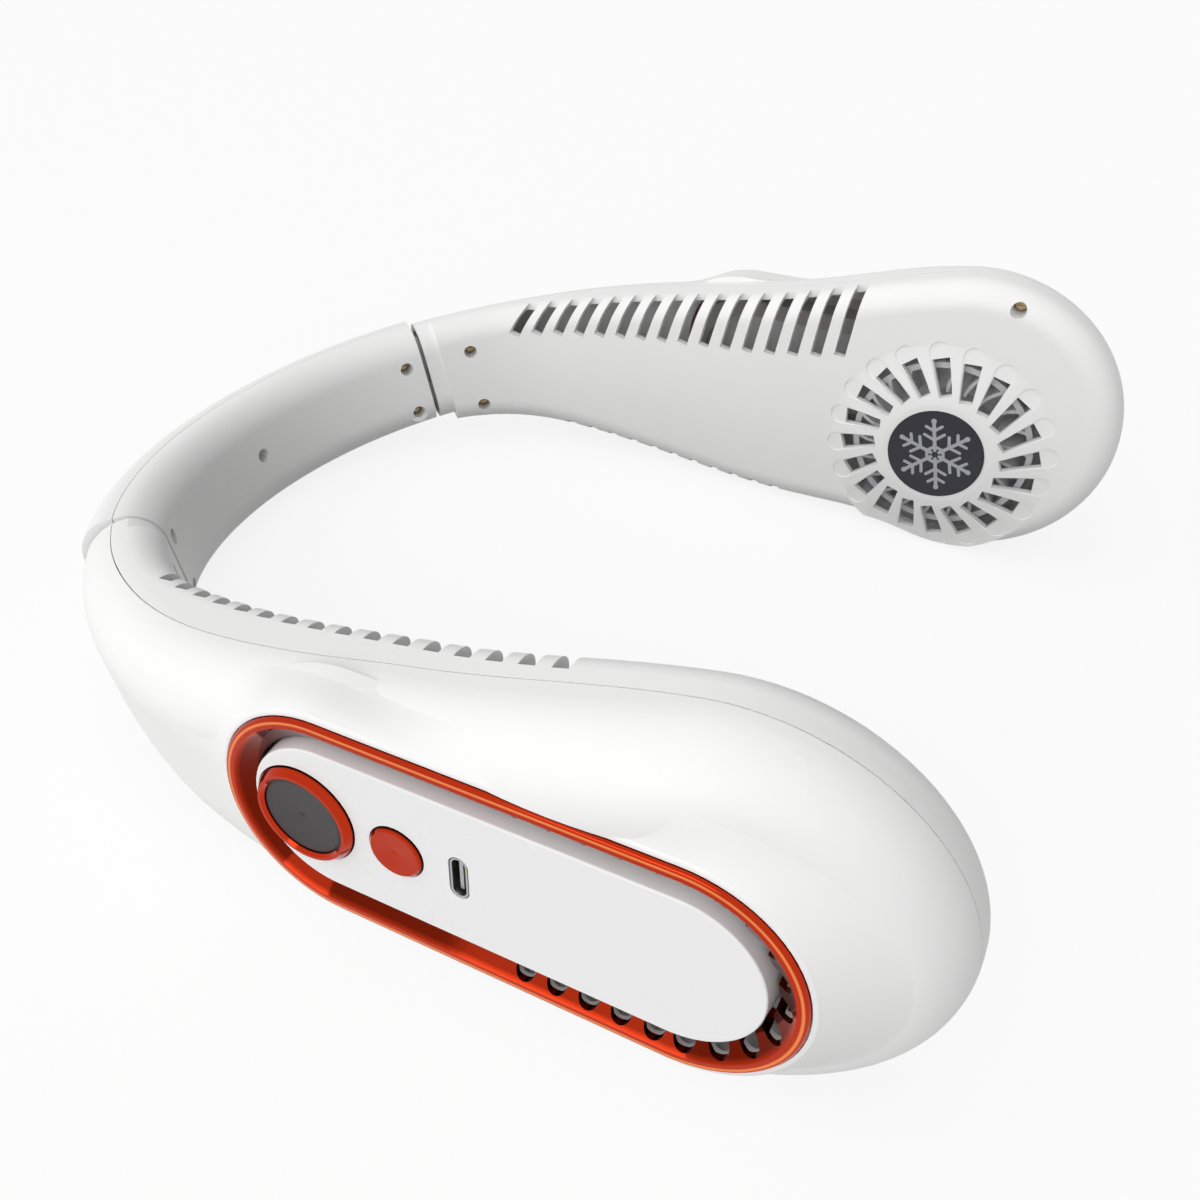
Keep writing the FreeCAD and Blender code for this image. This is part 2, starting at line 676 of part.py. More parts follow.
def vent_tools():
    """Leaning slots over the top edge of the inner wall, longer to the front, and short ones below."""
    slots = []
    wall = Part.Face(Part.Wire(Part.__sortEdges__(plan_edges(0))))
    profile = Part.Face(Part.Wire(Part.__sortEdges__(side_edges(0))))
    high = vent_places(v.vent_count, v.vent_start, v.vent_pitch)
    rows = [(y, index / (v.vent_count - 1)) for index, y in high]
    rows += [(y, None) for _, y in vent_places(v.vent_low_count, v.vent_low_start, v.vent_low_pitch)]
    for y, share in rows:
        across = wall.common(line(Vector(0, y, 0), Vector(outer_x * 2, y, 0)))
        along = profile.common(line(Vector(0, y, -4 * SPARE), Vector(0, y, 4 * SPARE)))
        tip = Vector(across.BoundBox.XMin + v.vent_reach, y, along.BoundBox.ZMin)
        tall = v.vent_low_length
        lean = 0.0
        if share is not None:
            tip = Vector(tip.x + v.vent_spread * share, y, along.BoundBox.ZMax)
            tall = v.vent_short + (v.vent_long - v.vent_short) * share
            lean = v.vent_lean_back + (v.vent_lean_front - v.vent_lean_back) * share
        slot = Part.makeBox(SPARE, v.vent_width, 2 * tall, Vector(-SPARE, -v.vent_width / 2, -tall))
        slots.append(in_frame(slot, Placement(tip, Rotation(X_AXIS, lean))))
    return slots


def vent_places(count, start, pitch):
    return [(index, start - index * pitch) for index in range(int(count))]


def swirl(shape, index):
    """Turn one grille tool from the radius, then to its place round the fan."""
    shape.rotate(Vector(v.grille_inner, 0, 0), Z_AXIS, -v.grille_swirl)
    shape.rotate(Vector(), Z_AXIS, v.grille_turn + 360 * index / int(v.grille_count))
    return shape


def slot_tool(index):
    """One tapered opening through the dome, in the fan's frame."""
    half_in = v.grille_width_in / 2
    half_out = v.grille_width_out / 2
    corners = [Vector(v.grille_inner, half_in, 0), Vector(v.grille_inner, -half_in, 0),
               Vector(v.grille_outer, -half_out, 0), Vector(v.grille_outer, half_out, 0)]
    face = Part.Face(Part.makePolygon(corners + corners[:1]))
    return swirl(face.extrude(Vector(0, 0, wheel_x - v.wheel_gap / 2)), index)


def petal_tool(index):
    """The shallow round-ended petal that leads into an opening, sunk along the dome's flank."""
    half_in = v.grille_width_in / 2
    half_out = v.petal_width / 2
    inner = [Vector(v.grille_inner, half_in, 0), Vector(v.grille_inner, -half_in, 0)]
    outer = [Vector(v.grille_petal - half_out, -half_out, 0), Vector(v.grille_petal - half_out, half_out, 0)]
    cap = Part.Arc(outer[0], Vector(v.grille_petal, 0, 0), outer[1]).toShape()
    wire = Part.Wire([line(*inner), line(inner[1], outer[0]), cap, line(outer[1], inner[0])])
    petal = Part.Face(wire).extrude(Vector(0, 0, -SPARE / 4))
    fall = math.degrees(math.atan2(v.dome_rise, v.dome_radius - v.dome_hub))
    petal.rotate(Vector(v.dome_hub, 0, 0), Vector(0, 1, 0), -fall)
    petal.translate(Vector(0, 0, hub_x + v.petal_depth))
    return swirl(petal, index)


def grille_tools():
    """Openings through the dome, and the petals that lead into them."""
    count = range(int(v.grille_count))
    return [in_frame(Part.makeCompound([tool(index) for index in count]), FAN_FRAME)
            for tool in (slot_tool, petal_tool)]


def post_places():
    count = int(v.post_count)
    return [polar(v.post_circle, v.post_turn + 360 * index / count) for index in range(count)]


def build_arm_shells():
    """Both half shells of the right arm, with bosses, vents, grille and the oval opening."""
    form = arm_form(0)
    hollow_form = arm_form(v.wall)
    sleeve = band_segment(0, collar_angle, sleeve_angle + 1).common(form)
    sleeve_hollow = band_segment(v.sleeve_wall, collar_angle - 1, sleeve_angle + 1).common(hollow_form)
    outside = form.cut(collar_cutter(sleeve_angle)).fuse([dome(0), sleeve])
    hollow = hollow_form.cut(collar_cutter(sleeve_angle + 0.5)).fuse([dome(v.wall), sleeve_hollow])
    sections = [oval(v.oval_half_width, outer_x - depth, v.oval_margin + share * v.oval_flare)
                for depth, share in BOSS_FLARE]
    sections.append(oval(v.oval_half_width, rim_x, v.oval_margin))
    boss = Part.makeLoft(sections, True, False)
    rim = [edge for edge in boss.Edges if abs(edge.BoundBox.ZMin - rim_x) < 1e-3]
    boss = in_frame(boss.makeFillet(1.0, rim), OVAL_FRAME)
    shell = outside.fuse(boss).cut(hollow)
    pivot = polar(band_middle, pivot_angle)
    boss_low = knuckle_top + v.running_gap
    pegs = []
    for bottom in (boss_low, -v.neck_height):
        pegs.append(
            Part.makeCylinder(v.collar_boss_radius, v.neck_height - boss_low, pivot + Z_AXIS * bottom))
    places = [radial_frame(collar_in, v.arm_screw_angle, height)
              for height in (v.arm_screw_high, -v.arm_screw_low)]
    lobe_screw = Placement(Vector(waist_x, lobe_y - v.lobe_screw_front, lobe_z + v.lobe_screw_up),
                           Rotation(BACKWARD, Z_AXIS, X_AXIS, "ZXY"))
    depths = [collar_out - collar_in, collar_out - collar_in, v.lobe_thickness]
    places.append(lobe_screw)
    tools = [screw_tools(place, depth) for place, depth in zip(places, depths)]
    inside = [piece.common(outside) for piece in pegs + [boss for boss, hole in tools]]
    shell = shell.fuse(inside)
    pin_hole = Part.makeCylinder(v.pin_radius + v.pin_clearance, 2 * knuckle_top + 2 * v.wall + 2,
                                 pivot - Z_AXIS * (knuckle_top + v.wall + 1))
    shell = shell.cut([hole for boss, hole in tools] + [pin_hole])
    opening = oval_prism(v.oval_half_width - v.ring_lip + v.ring_fit, seam_x, rim_x + SPARE)
    ledge = oval_prism(v.oval_half_width + v.ring_fit, rim_x + v.ring_bead - v.ring_lip_height, rim_x + SPARE)
    mouths = [in_frame(mouth, OVAL_FRAME) for mouth in (opening, ledge)]
    outer = shell.common(seam_block(v.seam_gap / 2)).cut(mouths)
    inner = shell.cut(seam_block(v.seam_gap / -2))
    slots, petals = grille_tools()
    recess = in_frame(rod(v.badge_radius + v.cap_fit, 0, hub_x + v.badge_recess), FAN_FRAME)
    plug = in_frame(rod(v.badge_radius + 1, hub_x + v.badge_recess, hub_x + v.wall + 1), FAN_FRAME)
    inner = inner.fuse(plug).cut([petals]).cut([slots, recess]).cut(vent_tools())
    stands = [FAN_FRAME.multiply(Placement(spot, Rotation())) for spot in post_places()]
    post = rod(v.post_radius, waist_x + v.wall / 2, bracket_x)
    pilot = rod(v.small_screw_radius + v.screw_clearance, bracket_x - v.small_screw_length, bracket_x)
    posts = [in_frame(post, stand) for stand in stands]
    pilots = [in_frame(pilot, stand) for stand in stands]
    inner = inner.fuse([post.common(outside) for post in posts]).cut(pilots)
    for label, shape in (("arm_inner_shell", inner), ("arm_outer_shell", outer)):
        piece = node(feature(label + "_right", shape), label + "_right")
        mirrored(piece, label + "_left")
    screws = screw_set("arm_screws_right", [driven(place) for place in places], screw)
    mirrored(node(screws, "arm_screws_right"), "arm_screws_left")
    build_pins(pivot)


def build_pins(pivot):
    """Two stub pins on the hinge axis, with room for the cable between them."""
    pins = []
    bottoms = {"hinge_pin_high": cable_half + 0.5, "hinge_pin_low": -knuckle_top - v.wall - 0.5}
    for name, bottom in bottoms.items():
        pin = cylinder(name, "Sizes.pin_radius", "Sizes.knuckle_height + Sizes.wall")
        pin.Placement = Placement(pivot + Z_AXIS * bottom, Rotation())
        pins.append(pin)
    pair = doc.addObject("Part::Compound", "hinge_pins_right")
    pair.Links = pins
    node(pair, "hinge_pins_right")
    mirrored(pair, "hinge_pins_left")


def arch_places():
    """Where the arch windows stand round the front of the ring, with the way that each one faces."""
    places = []
    for index in range(int(v.arch_count)):
        along = -straight + (index + 0.35) * v.arch_pitch
        places += [(Vector(along, 0, 0), 90), (Vector(along, 0, 0), -90)]
    middle = v.oval_half_width - v.ring_lip - v.ring_slope_width / 2
    count = int(math.pi * middle / v.arch_pitch)
    for index in range(count):
        places.append((Vector(-straight, 0, 0), 90 + 180 * (index + 0.5) / count))
    return places


def build_ring():
    """Plated tray: a rounded lip, a sloping band with arch windows and a floor that carries the panel."""
    top = rim_x + v.ring_bead
    lip_low = top - v.ring_lip_height
    neck_width = v.oval_half_width - v.ring_lip
    foot_width = neck_width - v.ring_slope_width
    lip = oval_prism(v.oval_half_width, lip_low, top)
    lip = lip.makeFillet(v.ring_bead, [edge for edge in lip.Edges if abs(edge.BoundBox.ZMin - top) < 1e-3])
    bend = top - v.ring_slope_depth
    skirt = Part.makeLoft([oval(neck_width, lip_low), oval(foot_width + v.ring_wall, bend - v.ring_wall / 2),
                           oval(foot_width + v.ring_wall, tray_x)], True, True)
    hollow = Part.makeLoft([oval(neck_width - v.ring_wall / 2, top), oval(foot_width, bend),
                            oval(foot_width, floor_x)], True, True)
    window = oval_prism(foot_width - 3.2, tray_x - 1, floor_x + 1)
    ring = lip.fuse(skirt).cut(hollow).cut(window)
    arches = []
    half = v.arch_width / 2
    head = neck_width - 1.2 - half
    low = floor_x + 0.7
    for spot, turn in arch_places():
        start = foot_width - 2
        door = Part.makeBox(head - start, v.arch_width, top - low + 1, Vector(start, -half, low))
        arch = Part.makeCylinder(half, top - low + 1, Vector(head, 0, low))
        arches.append(in_frame(door.fuse(arch), Placement(spot, Rotation(Z_AXIS, turn))))
    ring = node(feature("intake_ring_right", ring.cut(arches)), "intake_ring_right", OVAL_FRAME)
    mirrored(ring, "intake_ring_left")


def panel_shape():
    """Oval panel with bevelled sides, open underneath, standing on the floor of the ring."""
    width = v.oval_half_width - v.panel_margin
    skin = Part.makeLoft([oval(width + v.panel_bevel, floor_x), oval(width, panel_x)], True, True)
    skin = skin.makeFillet(0.4, [edge for edge in skin.Edges if abs(edge.BoundBox.ZMin - panel_x) < 1e-3])
    width -= v.panel_wall
    ceiling = oval(width, panel_x - v.panel_wall)
    hollow = Part.makeLoft([oval(width + v.panel_bevel, floor_x), ceiling], True, True)
    return skin.cut(hollow)


def board_posts():
    return [Vector(along, side * v.board_post_side, 0)
            for along in (v.board_post_back, v.board_post_front) for side in (-1, 1)]


def build_panels():
    """Plain panel on the right arm; control panel, with its holes and posts, for the left arm."""
    node(feature("plain_panel_right", panel_shape()), "plain_panel_right", OVAL_FRAME)
    low = panel_x - v.panel_wall - 1
    cuts = [rod(radius + v.button_gap, low, panel_x + 1) for radius in (v.power_radius, v.mode_radius)]
    cuts[0].translate(Vector(v.power_place, 0, 0))
    cuts[1].translate(Vector(v.mode_place, 0, 0))
    port = slot_prism(v.port_width + 2 * v.port_fit, v.port_length + 2 * v.port_fit, low, panel_x + 1)
    port.translate(Vector(v.port_place, 0, 0))
    post = rod(v.board_post_radius, board_x + v.board_thickness, panel_x - v.panel_wall / 2)
    pilot = rod(v.small_screw_radius + v.screw_clearance, board_x, board_x + v.small_screw_length + 0.2)
    posts = [in_frame(post, Placement(spot, Rotation())) for spot in board_posts()]
    pilots = [in_frame(pilot, Placement(spot, Rotation())) for spot in board_posts()]
    shape = panel_shape().fuse(posts).cut(cuts + [port] + pilots)
    panel = feature("control_panel_source", shape)
    panel.Placement = OVAL_FRAME
    sources.append((panel, OVAL_FRAME))
    mirrored(panel, "control_panel_left")


def slot_prism(width, length, low, high):
    """A prism with round ends whose long side lies across the panel."""
    half = width / 2
    reach = length / 2 - half
    left = [Vector(-half, reach, low), Vector(-half, -reach, low)]
    right = [Vector(half, -reach, low), Vector(half, reach, low)]
    bottom = Part.Arc(left[1], Vector(0, -reach - half, low), right[0]).toShape()
    top = Part.Arc(right[1], Vector(0, reach + half, low), left[0]).toShape()
    wire = Part.Wire([line(left[0], left[1]), bottom, line(right[0], right[1]), top])
    return Part.Face(wire).extrude(Vector(0, 0, high - low))


sources = []


def control(piece, label, place):
    """A piece of the control arm: drawn in the panel's frame, kept as its left-hand twin."""
    sources.append((piece, OVAL_FRAME.multiply(place)))
    mirrored(piece, label)


def along_panel(distance, height=0.0):
    return Placement(Vector(distance, 0, height), Rotation())


def build_controls():
    """Buttons, board, switches and charging socket of the control arm."""
    top = f"{panel_x}"
    under = f"({panel_x} - Sizes.panel_wall - Sizes.button_stop)"
    seat = f"({top} - 0.2)"
    rise = f"({top} + Sizes.power_rise)"
    flange = "(Sizes.power_radius + Sizes.button_flange)"
    foot = f"({under} - Sizes.button_flange_thick)"
    inner = "(Sizes.power_cap_radius + Sizes.cap_fit)"
    ring = turned("power_ring_source", [
        ("0", foot), (flange, foot), (flange, under), ("Sizes.power_radius", under),
        ("Sizes.power_radius", f"{top} + 0.3"), ("Sizes.power_radius - 0.9", rise), (f"{inner} + 0.5", rise),
        (inner, f"{rise} - 0.5"), (inner, seat), ("0", seat)])
    flange_top = panel_x - v.panel_wall - v.button_stop
    flange_low = flange_top - 2 * v.button_flange_thick
    width = v.oval_half_width - v.panel_margin - v.panel_wall - v.running_gap
    inside = oval_prism(width, flange_low, flange_top)
    inside.translate(Vector(-v.power_place, 0, 0))
    outside = feature("power_ring_trim", rod(SPARE, flange_low, flange_top).cut(inside))
    trimmed = boolean("Cut", "power_ring_trimmed", ring, outside)
    control(trimmed, "power_button_ring", along_panel(v.power_place))
    cap = turned("power_cap_source", [
        ("0", seat), ("Sizes.power_cap_radius", seat), ("Sizes.power_cap_radius", f"{rise} - 0.8"),
        ("Sizes.power_cap_radius - 0.5", f"{rise} - 0.6"), ("0", f"{rise} - 0.9")])
    control(cap, "power_button_cap", along_panel(v.power_place))
    flange = "(Sizes.mode_radius + Sizes.button_flange)"
    rise = f"({top} + Sizes.mode_rise)"
    mode = turned("mode_button_source", [
        ("0", foot), (flange, foot), (flange, under), ("Sizes.mode_radius", under),
        ("Sizes.mode_radius", f"{rise} - 0.5"), ("Sizes.mode_radius - 0.5", rise), ("0", f"{rise} - 0.2")])
    control(mode, "mode_button", along_panel(v.mode_place))
    half_long = "Sizes.board_length / 2"
    half_wide = "Sizes.board_width / 2"
    corner = "4"
    board = padded("control_board_source", [
        (f"-{half_long}", f"-{half_wide} + {corner}"), (f"-{half_long} + {corner}", f"-{half_wide}"),
        (f"{half_long} - {corner}", f"-{half_wide}"), (half_long, f"-{half_wide} + {corner}"),
        (half_long, f"{half_wide} - {corner}"), (f"{half_long} - {corner}", half_wide),
        (f"-{half_long} + {corner}", half_wide), (f"-{half_long}", f"{half_wide} - {corner}")],
        "Sizes.board_thickness")
    holes = Part.makeCompound([in_frame(rod(v.small_screw_radius + 0.2, -1, v.board_thickness + 1),
                                        Placement(spot - Vector(v.board_place, 0, 0), Rotation()))
                               for spot in board_posts()])
    drilled = boolean("Cut", "control_board_drilled", board, feature("control_board_holes", holes))
    control(drilled, "control_board", along_panel(v.board_place, board_x))
    places = [Placement(spot + Z_AXIS * board_x, Rotation()) for spot in board_posts()]
    control(screw_set("board_screws_source", places, small_screw), "board_screws", Placement())
    for label, distance in (("power_switch", v.power_place), ("mode_switch", v.mode_place)):
        case = box(label + "_case", "Sizes.switch_side", "Sizes.switch_side", "Sizes.switch_height")
        case.Placement = Placement(Vector(-v.switch_side / 2, -v.switch_side / 2, 0), Rotation())
        plunger = cylinder(
            label + "_plunger", "Sizes.plunger_radius", "Sizes.switch_height + Sizes.plunger_height")
        switch = boolean("Fuse", label + "_source", case, plunger)
        control(switch, label, along_panel(distance, board_x + v.board_thickness))
    build_port()


def build_port():
    """Upright charging socket: a round-ended steel sleeve on a base, with the contact tongue inside."""
    low = board_x + v.board_thickness
    sleeve = slot_prism(v.port_width, v.port_length, low, panel_x - 0.1)
    walls = 2 * v.port_wall
    mouth = slot_prism(v.port_width - walls, v.port_length - walls, low + 0.8, panel_x + 1)
    tongue = Part.makeBox(v.tongue_thick, v.tongue_width, panel_x - 0.9 - low,
                          Vector(-v.tongue_thick / 2, -v.tongue_width / 2, low))
    control(feature("charging_socket_source", sleeve.cut(mouth).fuse(tongue)), "charging_socket",
            along_panel(v.port_place))


def build_badge():
    disc = cylinder("badge_disc_right", "Sizes.badge_radius", "Sizes.badge_thickness")
    place = Placement(Vector(0, 0, hub_x + v.badge_recess - v.badge_thickness), Rotation())
    node(disc, "badge_disc_right", FAN_FRAME.multiply(place))
    mirrored(disc, "badge_disc_left")


def build_blower():
    """Radial wheel on an outer-rotor motor that hangs from a three-armed bracket."""
    front = f"{wheel_x}"
    back = f"({wheel_x} + Sizes.wheel_height)"
    cup = "(Sizes.rotor_radius + Sizes.cap_fit)"
    face = f"({front} + Sizes.wheel_plate)"
    plate = f"({back} - Sizes.wheel_plate)"
    wheel = turned("impeller_right", [
        ("0", front), ("Sizes.wheel_hub - 1", front), ("Sizes.wheel_hub", f"{front} + 1"),
        ("Sizes.wheel_hub", plate), ("Sizes.wheel_radius", plate), ("Sizes.wheel_radius", back),
        (cup, back), (cup, face), ("0", face)])
    wheel = node(boolean("Fuse", "impeller_wheel_right", wheel, feature("blades", blade_ring())),
                 "impeller_wheel_right", FAN_FRAME)
    mirrored(wheel, "impeller_wheel_left")
    rotor_low = f"({face} + Sizes.cap_fit)"
    inner = "(Sizes.rotor_radius - Sizes.rotor_wall)"
    bore = "(Sizes.shaft_radius + 0.02)"
    floor = f"({rotor_low} + Sizes.rotor_wall)"
    rotor = turned("rotor_cup_right", [
        (bore, rotor_low), ("Sizes.rotor_radius", rotor_low), ("Sizes.rotor_radius", f"{back} - 0.4"),
        (inner, f"{back} - 0.4"), (inner, floor), (bore, floor)])
    node(rotor, "rotor_cup_right", FAN_FRAME)
    mirrored(rotor, "rotor_cup_left")
    shaft_low = wheel_x + v.wheel_plate + 0.1
    shaft_length = bracket_x + v.bracket_thickness - 0.5 - shaft_low
    shaft = cylinder("motor_shaft_right", "Sizes.shaft_radius", f"{shaft_length}")
    node(shaft, "motor_shaft_right", FAN_FRAME.multiply(Placement(Vector(0, 0, shaft_low), Rotation())))
    mirrored(shaft, "motor_shaft_left")
    build_motor()


def blade_ring():
    """Swept blades between the wheel's plate and its front ring."""
    low = wheel_x
    high = wheel_back_x - v.wheel_plate / 2
    sweep = math.radians(v.blade_sweep)
    inner = Vector(v.blade_inner, 0, 0)
    outer = Vector(v.wheel_radius - 0.3, 0, 0)
    span = outer.x - inner.x
    tip = Vector(outer.x * math.cos(sweep / 3), outer.x * math.sin(sweep / 3), 0)
    middle = Vector(inner.x + span * 0.5, span * 0.08, 0)
    centre_line = Part.Arc(inner, middle, tip)
    thick = v.blade_thickness / 2
    sides = []
    for shift in (-thick, thick):
        spots = []
        for share in (0, 0.5, 1):
            at = centre_line.FirstParameter + share * (centre_line.LastParameter - centre_line.FirstParameter)
            way = centre_line.toShape().tangentAt(at)
            spots.append(centre_line.value(at) + Vector(-way.y, way.x, 0) * shift)
        sides.append(spots)
    left, right = sides
    wire = Part.Wire([Part.Arc(*left).toShape(), line(left[2], right[2]),
                      Part.Arc(right[2], right[1], right[0]).toShape(), line(right[0], left[0])])
    face = Part.Face(wire)
    face.translate(Vector(0, 0, low))
    blade = face.extrude(Vector(0, 0, high - low))
    count = int(v.blade_count)
    turns = [Rotation(Z_AXIS, 360 * index / count) for index in range(count)]
    blades = [in_frame(blade, Placement(Vector(), turn)) for turn in turns]
    eye = rod(v.wheel_radius - v.wheel_ring, low - 1, low + SPARE)
    ring = rod(v.wheel_radius, low, low + v.wheel_plate).cut(eye)
    return ring.fuse(blades)


def build_motor():
    """Stator with its teeth, and the bracket that carries it on the arm's posts."""
    stator_high = bracket_x
    stator_low = bracket_x - v.bracket_gap - v.stator_height - 0.8
    core = rod(v.stator_radius, stator_low, stator_low + v.stator_height)
    gaps = []
    count = int(v.stator_teeth)
    for index in range(count):
        slot = Part.makeBox(SPARE, 1.6, SPARE * 6, Vector(v.stator_radius * 0.45, -0.8, 0))
        gaps.append(in_frame(slot, Placement(Vector(), Rotation(Z_AXIS, 360 * index / count))))
    bush = rod(v.bush_radius, stator_low - 0.5, stator_high + v.bracket_thickness)
    bore = rod(v.shaft_radius + v.shaft_clearance, 0, SPARE * 6)
    stator = feature("motor_stator_right", core.cut(gaps).fuse(bush).cut(bore))
    mirrored(node(stator, "motor_stator_right", FAN_FRAME), "motor_stator_left")
    plate = rod(v.bracket_hub, bracket_x, bracket_x + v.bracket_thickness)
    holes = [rod(v.bush_radius + 0.02, bracket_x - 1, bracket_x + SPARE)]
    ears = []
    for spot in post_places():
        place = Placement(spot, Rotation())
        side = Vector(0, -v.bracket_arm / 2, bracket_x)
        arm = Part.makeBox(spot.Length, v.bracket_arm, v.bracket_thickness, side)
        ears.append(in_frame(arm, Placement(Vector(), Rotation(X_AXIS, spot))))
        ears.append(in_frame(rod(v.bracket_arm / 2 + 0.4, bracket_x, bracket_x + v.bracket_thickness), place))
        holes.append(in_frame(rod(v.small_screw_radius + 0.2, bracket_x - 1, bracket_x + SPARE), place))
    bracket = feature("motor_bracket_right", plate.fuse(ears).cut(holes))
    mirrored(node(bracket, "motor_bracket_right", FAN_FRAME), "motor_bracket_left")
    flip = Rotation(X_AXIS, 180)
    places = [Placement(spot + Z_AXIS * (bracket_x + v.bracket_thickness), flip) for spot in post_places()]
    screws = node(screw_set("motor_screws_right", places, small_screw), "motor_screws_right", FAN_FRAME)
    mirrored(screws, "motor_screws_left")


def standing_place():
    """The fan stands on both lobes and the back of the band, so the band tips backwards."""
    corner = v.neck_corner
    band_y = v.neck_inner_radius + v.neck_thickness - corner
    band_z = -v.neck_height / 2 + corner
    reach = band_y + v.lobe_reach
    rise = band_z + v.lobe_drop
    span = math.hypot(reach, rise)
    tilt = math.degrees(math.asin((v.lobe_radius - corner) / span) + math.atan2(rise, reach))
    turn = Rotation(X_AXIS, -tilt)
    lobe = turn.multVec(Vector(0, lobe_y, lobe_z))
    band = turn.multVec(Vector(0, band_y, band_z + v.neck_height - 2 * corner))
    front = lobe.y - v.lobe_radius
    back = band.y + corner
    return Placement(Vector(0, -(front + back) / 2, v.lobe_radius - lobe.z), turn)


def place_pieces():
    """Stand every right-hand and middle piece up; the left-hand twins follow their sources."""
    stand = standing_place()
    for piece, frame in nodes + sources:
        if frame is not None:
            piece.Placement = stand.multiply(frame)
    doc.recompute()
    return stand


def check_pieces():
    for item in doc.Objects:
        if "Invalid" in item.State or "Error" in item.State:
            raise RuntimeError(f"{item.Name} failed: {item.State}")
    for piece, _ in nodes:
        if piece.Shape.isNull() or not piece.Shape.isValid():
            raise RuntimeError(f"{piece.Label} has no valid shape")


build_neck()
build_arm_shells()
build_ring()
build_panels()
build_controls()
build_badge()
build_blower()
doc.recompute()
place_pieces()
check_pieces()
os.makedirs("parts", exist_ok=True)
for piece, _ in nodes:
    piece.Shape.exportStep(f"parts/{piece.Label}.step")
print(len(nodes), "pieces written")
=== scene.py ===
"""Electric neck fan: finishes, oval blends, snow crystals, socket contacts, windings and a studio stage."""
import json
import math

import bmesh
import bpy
from bpy.props import FloatProperty, FloatVectorProperty, IntProperty, PointerProperty
from mathutils import Matrix, Vector
from mathutils.bvhtree import BVHTree


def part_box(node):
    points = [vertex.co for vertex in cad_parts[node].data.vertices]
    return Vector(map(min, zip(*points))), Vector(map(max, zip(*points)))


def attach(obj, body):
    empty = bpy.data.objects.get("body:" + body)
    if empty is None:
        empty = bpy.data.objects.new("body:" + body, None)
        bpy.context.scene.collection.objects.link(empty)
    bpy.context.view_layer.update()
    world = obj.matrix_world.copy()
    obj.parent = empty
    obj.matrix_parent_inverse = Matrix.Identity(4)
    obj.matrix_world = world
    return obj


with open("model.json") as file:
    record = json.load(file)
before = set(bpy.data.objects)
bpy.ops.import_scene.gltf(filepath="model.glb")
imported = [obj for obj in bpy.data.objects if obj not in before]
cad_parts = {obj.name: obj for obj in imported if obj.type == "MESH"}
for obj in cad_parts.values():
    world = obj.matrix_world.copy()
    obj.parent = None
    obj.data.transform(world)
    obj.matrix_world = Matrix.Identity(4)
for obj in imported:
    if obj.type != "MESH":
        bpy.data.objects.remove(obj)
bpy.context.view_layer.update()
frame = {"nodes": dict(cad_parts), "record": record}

bl_info = {
    "name": "Neck fan finishes",
    "version": (1, 0, 0),
    "blender": (4, 5, 0),
    "location": "View3D > Sidebar > Neck fan",
    "description": "Finishes and small trim for an electric neck fan, with its studio stage",
    "category": "Object",
}

MM = 0.001
BAND_UP = (0.0, 0.24258, 0.97013)
TURN = 2 * math.pi

# Raised oval of the right arm, in rest; the left arm mirrors it
OVAL_MIDDLE = (104.2 * MM, -41.602 * MM, 34.868 * MM)
OVAL_LONG = (0.0, 0.99894, -0.04604)
OVAL_UP = (-0.06976, 0.04593, 0.99651)
OVAL_OUT = (0.99756, 0.00321, 0.06968)
OVAL_HALF = 31.8 * MM
RIM_RADIUS = 22.92 * MM
RIM_DROP = 0.28 * MM

# Intake ring: depths below the oval's rim and distances from its middle line
SLOPE_TOP = (-0.72 * MM, -0.55 * MM)
# Painted shade: the ring's slope is darkened between these distances from the middle line, standing in for
# dark reflections
PAINTED_SHADE_BAND = (19.9 * MM, 18.8 * MM)
PAINTED_SHADE = 0.3
BEAD_RADIUS = 20.75 * MM
# Painted highlight: a light line this wide along the bead, standing in for bright reflections
HIGHLIGHT_LINE = (0.34 * MM, 0.14 * MM)
SLOPE_START = 19.7 * MM
SLOPE_RATE = 1.308
BEAD_HEIGHT = 0.7 * MM
FOOT_RADIUS = 16.3 * MM
SKIRT_SIDE = (1.25 * MM, 1.35 * MM)
LIP_LOW = (0.95 * MM, 1.05 * MM)
TRAY_DEPTH = (5.9 * MM, 6.0 * MM)

# Moulded plastic
DRIFT_SCALE = 22.0
DRIFT_SHADE = 0.965
GLOSS_DRIFT = 0.08
GRAIN_DEEP = 0.1 * MM

# Lacquered plating
HAZE_SCALE = 160.0
HAZE_SHADE = 0.93
HAZE_GLOSS = 0.05
BARE_GLOSS = 0.4
RIPPLE_SCALE = 420.0
RIPPLE = 0.03
RIPPLE_DEEP = 0.2 * MM

# Drawn and stamped metal
GRAIN_RUN = 40.0
GRAIN_SHADE = 0.8
GRAIN_BUMP = 0.05
GRAIN_GLOSS = 0.12

# Ink and solder mask
MOTTLE_SCALE = 1800.0
MOTTLE_SHADE = 0.86
MOTTLE_GLOSS = 0.1
INK_GLOSS = 0.42
TRACK_SCALE = 90.0
TRACK_WIDTH = 0.03
TRACK_SHADE = 1.9
MASK_GLOSS = 0.35
MASK_COAT = 0.3


class Wire:
    """A node socket that takes part in Python arithmetic."""

    def __init__(self, graph, socket):
        self.graph = graph
        self.socket = socket

    def maths(self, operation, *values):
        return self.graph.node("ShaderNodeMath", dict(enumerate(values)), operation=operation)

    def at_least(self, floor):
        return self.maths("MAXIMUM", self, floor)

    def __abs__(self):
        return self.maths("ABSOLUTE", self)

    def __add__(self, other):
        return self.maths("ADD", self, other)

    def __radd__(self, other):
        return self.maths("ADD", other, self)

    def __sub__(self, other):
        return self.maths("SUBTRACT", self, other)

    def __rsub__(self, other):
        return self.maths("SUBTRACT", other, self)

    def __mul__(self, other):
        return self.maths("MULTIPLY", self, other)

    def __rmul__(self, other):
        return self.maths("MULTIPLY", other, self)

    def __pow__(self, other):
        return self.maths("POWER", self, other)


